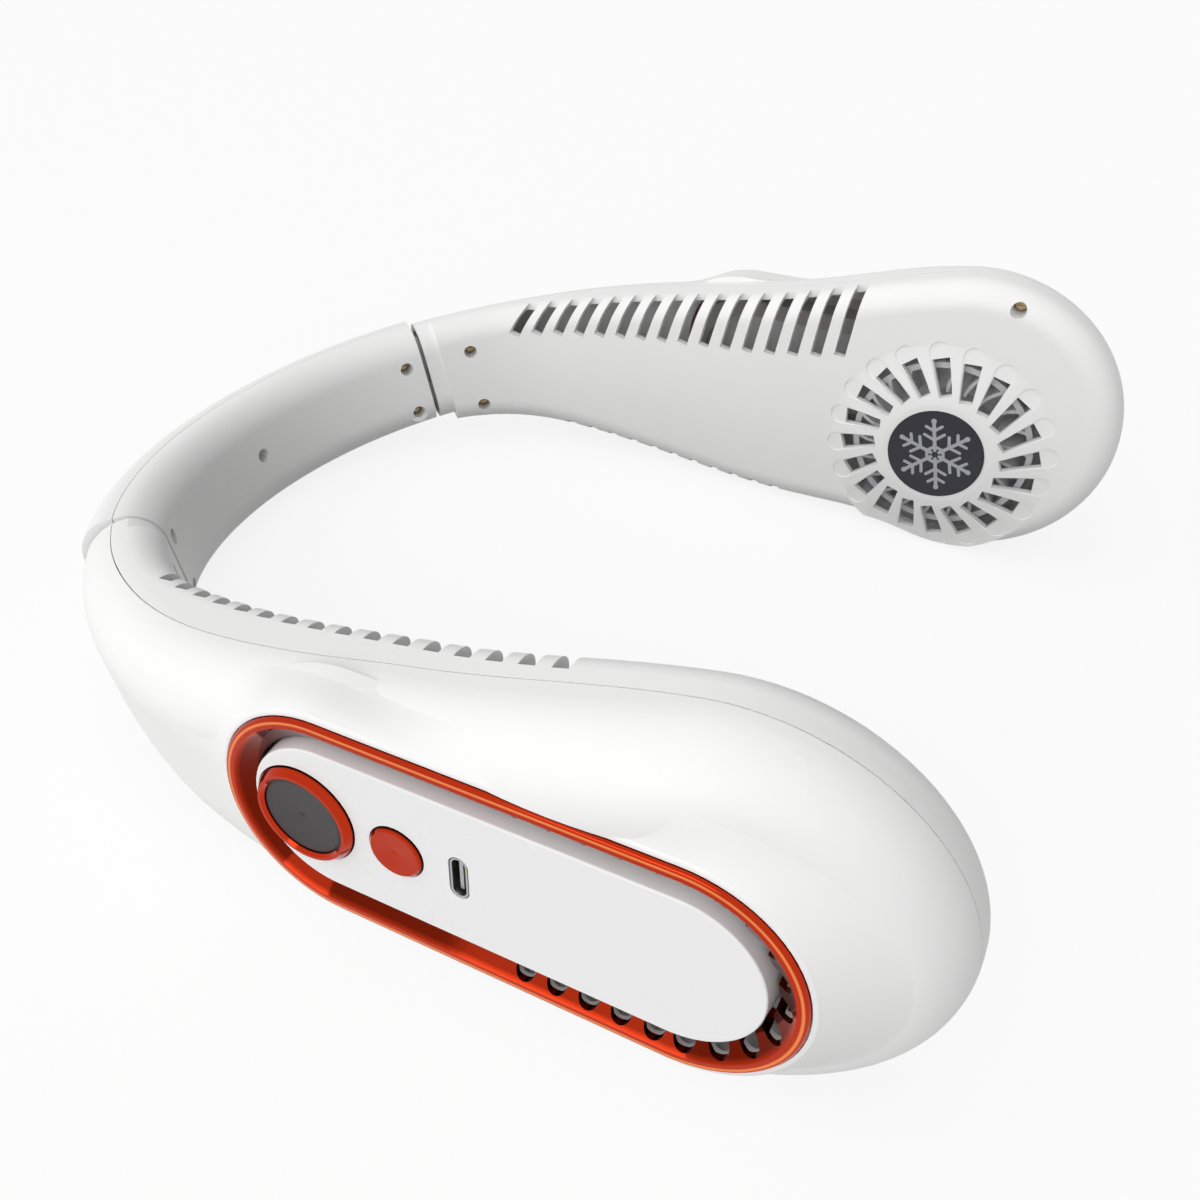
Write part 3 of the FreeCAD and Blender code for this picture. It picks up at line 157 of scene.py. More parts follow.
class Nodes:
    """A node tree that is filled one node at a time."""

    def __init__(self, tree):
        self.tree = tree

    def node(self, kind, inputs=None, output=0, stops=None, **settings):
        made = self.tree.nodes.new(kind)
        for name, value in settings.items():
            setattr(made, name, value)
        if stops:
            ramp = made.color_ramp
            while len(ramp.elements) < len(stops):
                ramp.elements.new(1.0)
            for element, (place, colour) in zip(ramp.elements, stops):
                element.position = place
                element.color = colour
        for key, value in (inputs or {}).items():
            if isinstance(value, Wire):
                self.tree.links.new(value.socket, made.inputs[key])
            else:
                made.inputs[key].default_value = value
        return Wire(self, made.outputs[output])


class Finish(Nodes):
    """One material, read on Object coordinates."""

    def __init__(self, name):
        self.material = bpy.data.materials.new(name)
        self.material.use_nodes = True
        super().__init__(self.material.node_tree)
        self.tree.nodes.clear()
        self.place = self.node("ShaderNodeTexCoord", output="Object")

    def noise(self, scale, detail=2.0, roughness=0.5):
        return self.node("ShaderNodeTexNoise", {"Vector": self.place, "Scale": scale, "Detail": detail,
                                                "Roughness": roughness})

    def part(self, vector, axis):
        return self.node("ShaderNodeSeparateXYZ", {"Vector": vector}, output=axis)

    def blend(self, share, first, second):
        return self.node("ShaderNodeMix", {0: share, 6: first, 7: second}, output=2, data_type="RGBA")

    def bump(self, height, strength, distance):
        return self.node("ShaderNodeBump", {"Height": height, "Strength": strength, "Distance": distance})

    def along(self, spot, way):
        return self.node("ShaderNodeVectorMath", {0: spot, 1: way}, output="Value", operation="DOT_PRODUCT")

    def rise(self, value, zero, one):
        """0 to 1 as a value goes from one bound to the other."""
        return self.node("ShaderNodeMapRange", {"Value": value, "From Min": zero, "From Max": one})

    def rim_place(self):
        """Depth below the raised oval's rim, and distance from the oval's middle line."""
        x, y, z = (self.part(self.place, axis) for axis in "XYZ")
        folded = self.node("ShaderNodeCombineXYZ", {"X": abs(x), "Y": y, "Z": z})
        spot = self.node("ShaderNodeVectorMath", {0: folded, 1: OVAL_MIDDLE}, operation="SUBTRACT")
        run = self.along(spot, OVAL_LONG)
        beyond = (abs(run) - OVAL_HALF).at_least(0.0)
        radius = (beyond * beyond + self.along(spot, OVAL_UP) ** 2) ** 0.5
        return 0 - self.along(spot, OVAL_OUT), radius

    def surface(self, **sockets):
        inputs = {name.replace("_", " "): value for name, value in sockets.items()}
        shader = self.node("ShaderNodeBsdfPrincipled", inputs)
        self.close(shader)
        return self.material

    def close(self, shader):
        end = self.tree.nodes.new("ShaderNodeOutputMaterial")
        self.tree.links.new(shader.socket, end.inputs["Surface"])


def opaque(colour):
    return (*colour, 1.0)


def shade(colour, share):
    return opaque([channel * share for channel in colour])


def moulded(name, colour, roughness, grain=2600.0, depth=0.02):
    """Injection-moulded plastic: a fine spark-eroded grain, slow drifts of tone and of gloss."""
    finish = Finish(name)
    drift = finish.noise(DRIFT_SCALE, detail=3.0)
    tone = finish.blend(drift, opaque(colour), shade(colour, DRIFT_SHADE))
    gloss = roughness - GLOSS_DRIFT / 2 + GLOSS_DRIFT * drift
    normal = finish.bump(finish.noise(grain), depth, GRAIN_DEEP)
    return finish.surface(Base_Color=tone, Roughness=gloss, Normal=normal)


def plated(name, colour, roughness):
    """Tinted lacquer over bright plating, with painted shade darkening the slope, a painted highlight line
    along the bead, and bare plastic inside.
    """
    finish = Finish(name)
    haze = finish.noise(HAZE_SCALE, detail=4.0)
    depth, radius = finish.rim_place()
    below = finish.rise(depth, *SLOPE_TOP)
    # Painted shade: darkens the slope below the bead, in place of reflected shade
    painted_shade = finish.rise(radius, *PAINTED_SHADE_BAND) * below
    # Painted highlight: a light line along the bead, above the slope
    painted_highlight = finish.rise(abs(radius - BEAD_RADIUS), *HIGHLIGHT_LINE) * (1 - below)
    slope = SLOPE_START - SLOPE_RATE * (depth + BEAD_HEIGHT)
    inner_side = slope.at_least(FOOT_RADIUS)
    inside = finish.rise(radius - inner_side, *SKIRT_SIDE) * finish.rise(depth, *LIP_LOW)
    bare = inside.at_least(finish.rise(depth, *TRAY_DEPTH))
    tone = finish.blend(haze, opaque(colour), shade(colour, HAZE_SHADE))
    tone = finish.blend(painted_shade, tone, shade(colour, PAINTED_SHADE))
    tone = finish.blend(painted_highlight, tone, opaque(PAINTED_HIGHLIGHT))
    tone = finish.blend(bare, tone, opaque(BARE_PLASTIC))
    gloss = roughness + HAZE_GLOSS * haze + BARE_GLOSS * bare
    normal = finish.bump(finish.noise(RIPPLE_SCALE, detail=1.0), RIPPLE, RIPPLE_DEEP)
    return finish.surface(Base_Color=tone, Metallic=1 - bare, Roughness=gloss, Normal=normal)


def metal(name, colour, roughness, grain):
    """Drawn or stamped metal with a grain along X."""
    finish = Finish(name)
    stretched = finish.node("ShaderNodeMapping", {"Vector": finish.place, "Scale": (GRAIN_RUN, grain, grain)})
    lines = finish.node("ShaderNodeTexNoise", {"Vector": stretched, "Scale": 1.0, "Detail": 3.0})
    tone = finish.blend(lines, opaque(colour), shade(colour, GRAIN_SHADE))
    normal = finish.bump(lines, GRAIN_BUMP, GRAIN_DEEP)
    gloss = roughness + GRAIN_GLOSS * lines
    return finish.surface(Base_Color=tone, Metallic=1.0, Roughness=gloss, Normal=normal)


def screen_print(name, colour):
    """Screen-printed ink with a little mottling."""
    finish = Finish(name)
    mottle = finish.noise(MOTTLE_SCALE, detail=3.0)
    tone = finish.blend(mottle, opaque(colour), shade(colour, MOTTLE_SHADE))
    return finish.surface(Base_Color=tone, Roughness=INK_GLOSS + MOTTLE_GLOSS * mottle)


def board_mask(name, colour):
    """Solder mask with copper tracks showing through."""
    finish = Finish(name)
    tracks = finish.node("ShaderNodeTexBrick", {"Vector": finish.place, "Scale": TRACK_SCALE,
                                                "Mortar Size": TRACK_WIDTH}, output=1)
    tone = finish.blend(tracks, opaque(colour), shade(colour, TRACK_SHADE))
    return finish.surface(Base_Color=tone, Roughness=MASK_GLOSS, Coat_Weight=MASK_COAT)


WHITE = (0.87, 0.87, 0.865)
PANEL_WHITE = (0.86, 0.86, 0.86)
ORANGE = (0.50, 0.034, 0.009)
BARE_PLASTIC = (0.45, 0.42, 0.41)
# Colour of the painted highlight line on the ring's bead
PAINTED_HIGHLIGHT = (0.92, 0.27, 0.08)
CAP_DARK = (0.020, 0.014, 0.017)
BADGE_DARK = (0.009, 0.009, 0.018)
PRINT_GREY = (0.42, 0.42, 0.45)
WHEEL_GREY = (0.70, 0.70, 0.71)
BRACKET_WHITE = (0.80, 0.80, 0.80)
ZINC = (0.55, 0.55, 0.57)
YELLOW_ZINC = (0.62, 0.50, 0.30)
NICKEL = (0.50, 0.50, 0.52)
STAMPED_STEEL = (0.62, 0.62, 0.64)
MASK_GREEN = (0.02, 0.10, 0.04)
POUCH_FOIL = (0.60, 0.61, 0.63)
SLEEVE_BLACK = (0.03, 0.03, 0.03)
SWITCH_BLACK = (0.03, 0.03, 0.032)
GOLD = (0.72, 0.48, 0.18)
COPPER = (0.55, 0.19, 0.07)


class FanColours(bpy.types.PropertyGroup):
    """Colours that a user may change before the pieces are finished."""
    shell: FloatVectorProperty(name="Shell", description="Satin plastic of the band and the arms",
                               subtype="COLOR", default=WHITE)
    panel: FloatVectorProperty(name="Panel", description="Smooth plastic of the oval panels",
                               subtype="COLOR", default=PANEL_WHITE)
    plating: FloatVectorProperty(name="Plating", description="Electroplated rings and small button",
                                 subtype="COLOR", default=ORANGE)
    cap: FloatVectorProperty(name="Cap", description="Smoked cap of the power button",
                             subtype="COLOR", default=CAP_DARK)
    badge: FloatVectorProperty(name="Badge", description="Disc in the middle of the grille",
                               subtype="COLOR", default=BADGE_DARK)
    flake: FloatVectorProperty(name="Print", description="Ink of the snow crystal on the disc",
                               subtype="COLOR", default=PRINT_GREY)


class FanTrim(bpy.types.PropertyGroup):
    """Sizes of the small trim."""
    flake_arms: IntProperty(name="Crystal arms", description="Arms of the printed snow crystal", default=6)
    flake_reach: FloatProperty(name="Crystal reach", description="From the disc's middle to an arm's end",
                               default=10.2 * MM, unit="LENGTH")
    flake_line: FloatProperty(name="Crystal line", description="Width of the printed lines",
                              default=0.95 * MM, unit="LENGTH")
    ink: FloatProperty(name="Ink", description="Thickness of the print", default=0.06 * MM, unit="LENGTH")
    contacts: IntProperty(name="Contacts", description="Contacts on each face of the tongue", default=12)
    contact_pitch: FloatProperty(name="Contact pitch", description="Distance between two contacts",
                                 default=0.5 * MM, unit="LENGTH")
    coils: IntProperty(name="Coils", description="Wound coils on a stator", default=6)
    coil_turns: IntProperty(name="Coil turns", description="Visible turns of wire on one coil", default=5)
    coil_wire: FloatProperty(name="Coil wire", description="Diameter of the winding wire",
                             default=0.42 * MM, unit="LENGTH")


def dress(material, *nodes):
    """Give carried-over nodes one finish."""
    for name in nodes:
        slots = frame["nodes"][name].data.materials
        slots.clear()
        slots.append(material)


def both(stem):
    return [stem + "_right", stem + "_left"]


class NECKFAN_OT_shells(bpy.types.Operator):
    """Finish the band, the arms and the panels"""
    bl_idname = "neckfan.shells"
    bl_label = "Shells"

    def execute(self, context):
        colours = context.scene.fan_colours
        shell = moulded("satin_shell", colours.shell, roughness=0.42)
        dress(shell, "neck_inner_shell", "neck_outer_shell")
        dress(shell, *both("arm_inner_shell"), *both("arm_outer_shell"))
        panel = moulded("smooth_panel", colours.panel, roughness=0.27, grain=3800.0, depth=0.008)
        dress(panel, "control_panel_left", "plain_panel_right")
        return {"FINISHED"}


BLEND_WIDTH = 7.0 * MM
BLEND_EXTRA = 7.0 * MM
BLEND_ROUND = 40
BLEND_STRAIGHT = 24
BLEND_ROWS = 10
SKIN_DEEP = 0.5 * MM
SUNK = 0.06 * MM
CROWN = 0.18 * MM
RAY_START = 60.0 * MM
BLEND_PULL = 0.9
FALL_RATE = 2
NORMAL_STEPS = (-2, -1, 0, 1, 2)


def oval_rim(sign):
    """Points of the raised oval's rim with the way across it at each, and the way out of the arm."""
    flip = Vector((sign, 1.0, 1.0))
    long, up, out, middle = (Vector(way) * flip for way in (OVAL_LONG, OVAL_UP, OVAL_OUT, OVAL_MIDDLE))
    spots = []
    for end in (1, -1):
        stations = [(end, math.pi * step / BLEND_ROUND - TURN / 4) for step in range(BLEND_ROUND)]
        stations += [(end * (1 - 2 * step / BLEND_STRAIGHT), TURN / 4) for step in range(BLEND_STRAIGHT)]
        for share, angle in stations:
            across = (long * math.cos(angle) + up * math.sin(angle)) * end
            spots.append((middle + long * OVAL_HALF * share + across * RIM_RADIUS - out * RIM_DROP, across))
    return spots, long, out


def landings(shell, spots, long, out):
    """Where the blend meets the arm at each point of the rim, and the arm's normal there."""
    surface = BVHTree.FromPolygons([spot.co for spot in shell.vertices],
                                   [face.vertices for face in shell.polygons])
    found = []
    for start, across in spots:
        aim = -(across + out).normalized()
        width = BLEND_WIDTH + BLEND_EXTRA * across.dot(long) ** 2
        reach = start + (across - out).normalized() * width
        spot, normal, _, _ = surface.ray_cast(reach - aim * RAY_START, aim)
        found.append((spot - normal * SUNK, normal))
    return found


def blend_rows(start, spot, leave, land, normal):
    """Points of a smooth curve from the rim to the arm, a little crowned."""
    rows = []
    for row in range(BLEND_ROWS + 1):
        t = row / BLEND_ROWS
        rows.append(start * (2 * t ** 3 - 3 * t ** 2 + 1) + leave * (t ** 3 - 2 * t ** 2 + t)
                    + spot * (3 * t ** 2 - 2 * t ** 3) + land * (t ** 3 - t ** 2)
                    + normal * CROWN * 4 * t * (1 - t))
    return rows


def blend_skin(shell, sign):
    """A closed skin that runs smoothly from the oval's rim down onto the arm."""
    spots, long, out = oval_rim(sign)
    found = landings(shell, spots, long, out)
    shape = bmesh.new()
    rings = []
    for here, (start, across) in enumerate(spots):
        spot = found[here][0]
        nearby = [found[(here + step) % len(spots)][1] for step in NORMAL_STEPS]
        normal = sum(nearby, Vector()).normalized()
        chord = spot - start
        pull = chord.length * BLEND_PULL
        way = chord.normalized()
        fall = min(max(-FALL_RATE * way.dot(out), 0.0), 1.0)
        leave = (way + (across - out).normalized() * fall).normalized() * pull
        land = (chord - normal * chord.dot(normal)).normalized() * pull
        rows = blend_rows(start, spot, leave, land, normal)
        rows += [spot - normal * SKIN_DEEP, start - across * SKIN_DEEP - out * SKIN_DEEP]
        rings.append([shape.verts.new(place) for place in rows])
    for here, ring in enumerate(rings):
        after = rings[(here + 1) % len(rings)]
        for row in range(len(ring)):
            beside = (row + 1) % len(ring)
            face = shape.faces.new((ring[row], after[row], after[beside], ring[beside]))
            face.smooth = True
        for row in (0, BLEND_ROWS):
            shape.edges.get((ring[row], after[row])).smooth = False
    bmesh.ops.recalc_face_normals(shape, faces=shape.faces)
    return as_mesh(shape, "oval_blend")


class NECKFAN_OT_blends(bpy.types.Operator):
    """Blend the raised oval of each arm into the arm"""
    bl_idname = "neckfan.blends"
    bl_label = "Oval blends"

    def execute(self, context):
        for side, sign in (("right", 1), ("left", -1)):
            shell = frame["nodes"]["arm_outer_shell_" + side].data
            mesh = blend_skin(shell, sign)
            mesh.materials.append(shell.materials[0])
            piece = bpy.data.objects.new("oval_blend_" + side, mesh)
            context.scene.collection.objects.link(piece)
            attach(piece, side + "_arm")
        return {"FINISHED"}


class NECKFAN_OT_plating(bpy.types.Operator):
    """Finish the intake rings, the buttons and the grille discs"""
    bl_idname = "neckfan.plating"
    bl_label = "Plating and caps"

    def execute(self, context):
        colours = context.scene.fan_colours
        plating = plated("orange_plating", colours.plating, roughness=0.06)
        dress(plating, *both("intake_ring"), "power_button_ring", "mode_button")
        cap = moulded("smoked_cap", colours.cap, roughness=0.42, grain=5000.0, depth=0.01)
        dress(cap, "power_button_cap")
        badge = moulded("badge_lacquer", colours.badge, roughness=0.35, grain=4200.0, depth=0.012)
        dress(badge, *both("badge_disc"))
        return {"FINISHED"}


class NECKFAN_OT_works(bpy.types.Operator):
    """Finish the motors, boards, cells, screws and the socket"""
    bl_idname = "neckfan.works"
    bl_label = "Inner works"

    def execute(self, context):
        dress(moulded("wheel_plastic", WHEEL_GREY, roughness=0.45), *both("impeller_wheel"))
        steel = metal("zinc_steel", ZINC, roughness=0.28, grain=3000.0)
        dress(steel, *both("rotor_cup"), *both("motor_shaft"), *both("hinge_pins"), *both("motor_stator"))
        dress(metal("yellow_zinc", YELLOW_ZINC, roughness=0.30, grain=2600.0), "neck_screws", "board_screws",
              *both("arm_screws"), *both("motor_screws"))
        dress(metal("nickel_socket", NICKEL, roughness=0.26, grain=3500.0), "charging_socket")
        dress(moulded("bracket_plastic", BRACKET_WHITE, roughness=0.5), *both("hinge_bracket"))
        dress(metal("stamped_bracket", STAMPED_STEEL, roughness=0.4, grain=1800.0), *both("motor_bracket"))
        dress(board_mask("solder_mask", MASK_GREEN), "battery_guard_board", "control_board")
        dress(metal("cell_pouch", POUCH_FOIL, roughness=0.42, grain=900.0), *both("battery_cell"))
        dress(moulded("cable_sleeve", SLEEVE_BLACK, roughness=0.55), "neck_cable")
        dress(moulded("switch_black", SWITCH_BLACK, roughness=0.45), "power_switch", "mode_switch")
        return {"FINISHED"}


class Repeat(Nodes):
    """A geometry tree that sets copies of an object's own mesh round an axis or along a row."""

    def __init__(self, name):
        tree = bpy.data.node_groups.new(name, "GeometryNodeTree")
        super().__init__(tree)
        self.sockets = {}
        for label, kind in (("Geometry", "NodeSocketGeometry"), ("Count", "NodeSocketInt"),
                            ("Step", "NodeSocketVector"), ("Turn", "NodeSocketVector"),
                            ("Finish", "NodeSocketMaterial")):
            item = tree.interface.new_socket(label, in_out="INPUT", socket_type=kind)
            self.sockets[label] = item.identifier
        tree.interface.new_socket("Geometry", in_out="OUTPUT", socket_type="NodeSocketGeometry")
        entry = tree.nodes.new("NodeGroupInput")
        given = {label: Wire(self, entry.outputs[label]) for label in self.sockets}
        index = self.node("GeometryNodeInputIndex")
        place = self.node("ShaderNodeVectorMath", {0: given["Step"], "Scale": index}, operation="SCALE")
        turn = self.node("ShaderNodeVectorMath", {0: given["Turn"], "Scale": index}, operation="SCALE")
        spots = self.node("GeometryNodePoints", {"Count": given["Count"], "Position": place})
        copies = self.node("GeometryNodeInstanceOnPoints",
                           {"Points": spots, "Instance": given["Geometry"], "Rotation": turn})
        solid = self.node("GeometryNodeRealizeInstances", {"Geometry": copies})
        finished = self.node("GeometryNodeSetMaterial", {"Geometry": solid, "Material": given["Finish"]})
        end = tree.nodes.new("NodeGroupOutput")
        tree.links.new(finished.socket, end.inputs["Geometry"])

    def make(self, name, mesh, place, **inputs):
        """A plain mesh object of the copies, with its place in its mesh."""
        piece = bpy.data.objects.new(name, mesh)
        bpy.context.scene.collection.objects.link(piece)
        modifier = piece.modifiers.new("copies", "NODES")
        modifier.node_group = self.tree
        for label, value in inputs.items():
            modifier[self.sockets[label]] = value
        bpy.context.view_layer.update()
        result = bpy.data.meshes.new_from_object(piece.evaluated_get(bpy.context.evaluated_depsgraph_get()))
        piece.modifiers.remove(modifier)
        result.transform(place)
        result.name = name
        piece.data = result
        return piece


END_STEPS = 6


def frame_of(along, outward, origin):
    """A place whose Y axis lies along the first way and whose Z axis faces outward."""
    out = Vector(outward).normalized()
    right = Vector(along).cross(out).normalized()
    return Matrix.Translation(origin) @ Matrix((right, out.cross(right), out)).transposed().to_4x4()


def bar(shape, start, end, width, height):
    """A flat bar with round ends between two points of the XY plane."""
    start, end = Vector(start), Vector(end)
    way = (end - start).normalized()
    side = Vector((-way.y, way.x))
    rim = []
    for middle, sign in ((end, 1), (start, -1)):
        for step in range(END_STEPS + 1):
            angle = math.pi * (step / END_STEPS - 0.5)
            offset = way * math.cos(angle) * sign + side * math.sin(angle) * sign
            rim.append(middle + offset * width / 2)
    floor = [shape.verts.new((*spot, 0.0)) for spot in rim]
    top = [shape.verts.new((*spot, height)) for spot in rim]
    shape.faces.new(top)
    shape.faces.new(floor[::-1])
    for index in range(len(rim)):
        after = (index + 1) % len(rim)
        shape.faces.new((floor[index], floor[after], top[after], top[index]))


def as_mesh(shape, name):
    mesh = bpy.data.meshes.new(name)
    shape.to_mesh(mesh)
    shape.free()
    return mesh


HEART = 0.24
BRANCHES = ((0.42, 0.30), (0.68, 0.24))
BRANCH_ANGLE = math.radians(58)
BRANCH_WIDTH = 0.85
BRANCH_RISE = 0.9
HEART_RISE = 0.8
BEAD = 1.45
BEAD_HALF = 0.1
BEAD_RISE = 0.95
STEM_START = 1.35


def crystal_arm(reach, width, height):
    """One arm of the crystal along +Y: a stem, two pairs of branches, a bead and its share of the heart."""
    shape = bmesh.new()
    bar(shape, (0, width * STEM_START), (0, reach - width / 2), width, height)
    for place, length in BRANCHES:
        for side in (-1, 1):
            root = Vector((0, place * reach))
            tip = root + Vector((side * math.sin(BRANCH_ANGLE), math.cos(BRANCH_ANGLE))) * length * reach
            bar(shape, root, tip, width * BRANCH_WIDTH, height * BRANCH_RISE)
    heart = HEART * reach
    corner = Vector((heart * math.sin(TURN / 6), heart * math.cos(TURN / 6)))
    bar(shape, (0, heart), corner, width * BRANCH_WIDTH, height * HEART_RISE)
    tip = Vector((0, reach - width / 2))
    half = Vector((0, width * BEAD_HALF))
    bar(shape, tip - half, tip + half, width * BEAD, height * BEAD_RISE)
    return as_mesh(shape, "crystal_arm")


class NECKFAN_OT_crystals(bpy.types.Operator):
    """Print a snow crystal on the disc of each grille"""
    bl_idname = "neckfan.crystals"
    bl_label = "Snow crystals"

    def execute(self, context):
        trim = context.scene.fan_trim
        ink = screen_print("silver_print", context.scene.fan_colours.flake)
        tree = Repeat("crystal_arms")
        for side, sign in (("right", 1), ("left", -1)):
            low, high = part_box("badge_disc_" + side)
            face = low[0] if sign > 0 else high[0]
            middle = Vector((face, (low[1] + high[1]) / 2, (low[2] + high[2]) / 2))
            arm = crystal_arm(trim.flake_reach, trim.flake_line, trim.ink)
            piece = tree.make("snow_crystal_" + side, arm, frame_of(BAND_UP, (-sign, 0, 0), middle),
                              Count=trim.flake_arms, Turn=(0.0, 0.0, TURN / trim.flake_arms), Finish=ink)
            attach(piece, side + "_arm")
        return {"FINISHED"}


SOCKET_ACROSS = (0.0, 0.99895, -0.04604)
TONGUE_HALF = 0.35 * MM
CONTACT_TOP = 1.2 * MM
CONTACT_LONG = 2.6 * MM
CONTACT_WIDE = 0.26 * MM
CONTACT_THICK = 0.05 * MM


class NECKFAN_OT_contacts(bpy.types.Operator):
    """Lay the rows of contacts on both faces of the socket's tongue"""
    bl_idname = "neckfan.contacts"
    bl_label = "Socket contacts"

    def execute(self, context):
        trim = context.scene.fan_trim
        gold = metal("contact_gold", GOLD, roughness=0.22, grain=3000.0)
        mount = next(item for item in frame["record"]["mounts"] if item["name"] == "charging_socket")
        out = Vector(mount["axis"]).normalized()
        across = Vector(SOCKET_ACROSS).normalized()
        tree = Repeat("contact_row")
        for number, sign in (("1", 1), ("2", -1)):
            shape = bmesh.new()
            bar(shape, (0, CONTACT_LONG / -2), (0, CONTACT_LONG / 2), CONTACT_WIDE, CONTACT_THICK)
            start = trim.contact_pitch * (trim.contacts - 1) / 2
            depth = CONTACT_TOP + CONTACT_LONG / 2
            middle = Vector(mount["pos_m"]) - out * depth + across * sign * TONGUE_HALF
            place = frame_of(out, across * sign, middle)
            place = place @ Matrix.Translation((-start, 0, 0))
            piece = tree.make("socket_contacts_" + number, as_mesh(shape, "contact"), place,
                              Count=trim.contacts, Step=(trim.contact_pitch, 0.0, 0.0), Finish=gold)
            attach(piece, "left_arm")
        return {"FINISHED"}


CORE_HALF = 2.75 * MM
CORE_MIDDLE = 3.25 * MM
COIL_FIRST = 4.9 * MM
COIL_LAST = 8.0 * MM
SLOT_HALF = 0.8 * MM
LOOP_CORNER = 0.6 * MM
LOOP_STEPS = 4
WIRE_SIDES = 6
WIRE_CLEAR = 0.6


def wire_loop(shape, distance, half_wide, half_high, radius):
    """One closed turn of round wire in the plane y = distance, with rounded corners."""
    spots = []
    for quarter in range(4):
        cx = (half_wide - LOOP_CORNER) * (1, -1, -1, 1)[quarter]
        cz = (half_high - LOOP_CORNER) * (1, 1, -1, -1)[quarter]
        for step in range(LOOP_STEPS):
            angle = TURN / 4 * (quarter + step / (LOOP_STEPS - 1))
            spots.append((cx, cz, math.cos(angle), math.sin(angle)))
    rings = []
    for cx, cz, nx, nz in spots:
        ring = []
        for side in range(WIRE_SIDES):
            turn = TURN * side / WIRE_SIDES
            reach = LOOP_CORNER + radius * math.cos(turn)
            y = distance + radius * math.sin(turn)
            ring.append(shape.verts.new((cx + nx * reach, y, cz + nz * reach)))
        rings.append(ring)
    for here, ring in enumerate(rings):
        after = rings[(here + 1) % len(rings)]
        for side in range(WIRE_SIDES):
            beside = (side + 1) % WIRE_SIDES
            shape.faces.new((ring[side], ring[beside], after[beside], after[side]))


def coil(turns, wire):
    """The turns of one coil round a stator tooth that points along +Y and widens outwards."""
    shape = bmesh.new()
    for turn in range(turns):
        distance = COIL_FIRST + (COIL_LAST - COIL_FIRST) * turn / max(turns - 1, 1)
        tooth = distance * math.tan(TURN / 12) - SLOT_HALF / math.cos(TURN / 12)
        wire_loop(shape, distance, tooth + wire * WIRE_CLEAR, CORE_HALF + wire * WIRE_CLEAR, wire / 2)
    bmesh.ops.recalc_face_normals(shape, faces=shape.faces)
    return as_mesh(shape, "coil")


class NECKFAN_OT_windings(bpy.types.Operator):
    """Wind the coils of both stators"""
    bl_idname = "neckfan.windings"
    bl_label = "Windings"

    def execute(self, context):
        trim = context.scene.fan_trim
        copper = metal("enamelled_copper", COPPER, roughness=0.24, grain=2400.0)
        tree = Repeat("coil_ring")
        for side, sign in (("right", 1), ("left", -1)):
            low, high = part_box("motor_stator_" + side)
            middle = low[0] + CORE_MIDDLE if sign > 0 else high[0] - CORE_MIDDLE
            origin = Vector((middle, (low[1] + high[1]) / 2, (low[2] + high[2]) / 2))
            piece = tree.make("stator_windings_" + side, coil(trim.coil_turns, trim.coil_wire),
                              frame_of(BAND_UP, (sign, 0, 0), origin), Count=trim.coils,
                              Turn=(0.0, 0.0, TURN / trim.coils), Finish=copper)
            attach(piece, side + "_arm")
        return {"FINISHED"}


FLOOR_SIZE = 6.0
FLOOR_WHITE = 0.84
FLOOR_SEEN = (0.95, 0.95, 0.95)
FLOOR_BOUNCE = (0.32, 0.32, 0.32)
SKY_WHITE = 0.985
CAMERA_PLACE = (-0.193631, -0.101123, 0.182633)
CAMERA_RIGHT = (0.44912, -0.89287, 0.03286)
CAMERA_AHEAD = (0.70021, 0.32889, -0.63368)
CAMERA_LENS = 33.0
SENSOR = 36.0
NEAR_CLIP = 5.0 * MM
KEY_PLACE = (-1.1, 0.1, 0.42)
KEY_TARGET = (0.0, 0.0, 0.03)
KEY_SIZE = 0.6
KEY_POWER = 1.5


def white_rays(nodes):
    """1 for the rays that show the background, to the camera, in metal or through glass."""
    seen = nodes.node("ShaderNodeLightPath", output="Is Camera Ray")
    gloss = Wire(nodes, seen.socket.node.outputs["Is Glossy Ray"])
    through = Wire(nodes, seen.socket.node.outputs["Is Transmission Ray"])
    return seen + gloss + through


def studio_floor():
    """Pale floor that the camera and reflections see as white, with the object's soft shadow kept."""
    finish = Finish("pale_floor")
    white = white_rays(finish)
    tone = finish.blend(white, opaque(FLOOR_BOUNCE), opaque(FLOOR_SEEN))
    diffuse = finish.node("ShaderNodeBsdfDiffuse", {"Color": tone})
    glow = finish.node("ShaderNodeEmission", {"Color": opaque((1.0, 1.0, 1.0)), "Strength": 1.0})
    share = white * FLOOR_WHITE
    finish.close(finish.node("ShaderNodeMixShader", {0: share, 1: diffuse, 2: glow}))
    return finish.material


DOME_WAY = (-0.84, 0.49, 0.22)
DOME_LOW = 0.16
DOME_HIGH = 1.60
DOME_FALL = 1.8


def studio_dome():
    """Soft white dome, brightest on the control arm's side and fading to the opposite side."""
    world = bpy.data.worlds.new("studio_dome")
    world.use_nodes = True
    dome = Nodes(world.node_tree)
    world.node_tree.nodes.clear()
    way = dome.node("ShaderNodeTexCoord", output="Generated")
    lean = dome.node("ShaderNodeVectorMath", {0: way, 1: DOME_WAY}, output="Value", operation="DOT_PRODUCT")
    rise = (0.5 + 0.5 * lean) ** DOME_FALL
    white = white_rays(dome)
    strength = white * SKY_WHITE + (1 - white) * (DOME_LOW + DOME_HIGH * rise)
    light = dome.node("ShaderNodeBackground", {"Color": opaque((1.0, 1.0, 1.0)), "Strength": strength})
    end = world.node_tree.nodes.new("ShaderNodeOutputWorld")
    world.node_tree.links.new(light.socket, end.inputs["Surface"])
    return world


def softbox(name, place, target, size, power):
    lamp = bpy.data.lights.new(name, "AREA")
    lamp.shape = "DISK"
    lamp.size = size
    lamp.energy = power
    thing = bpy.data.objects.new(name, lamp)
    way = Vector(target) - Vector(place)
    thing.matrix_world = Matrix.Translation(place) @ way.to_track_quat("-Z", "Y").to_matrix().to_4x4()
    bpy.context.scene.collection.objects.link(thing)


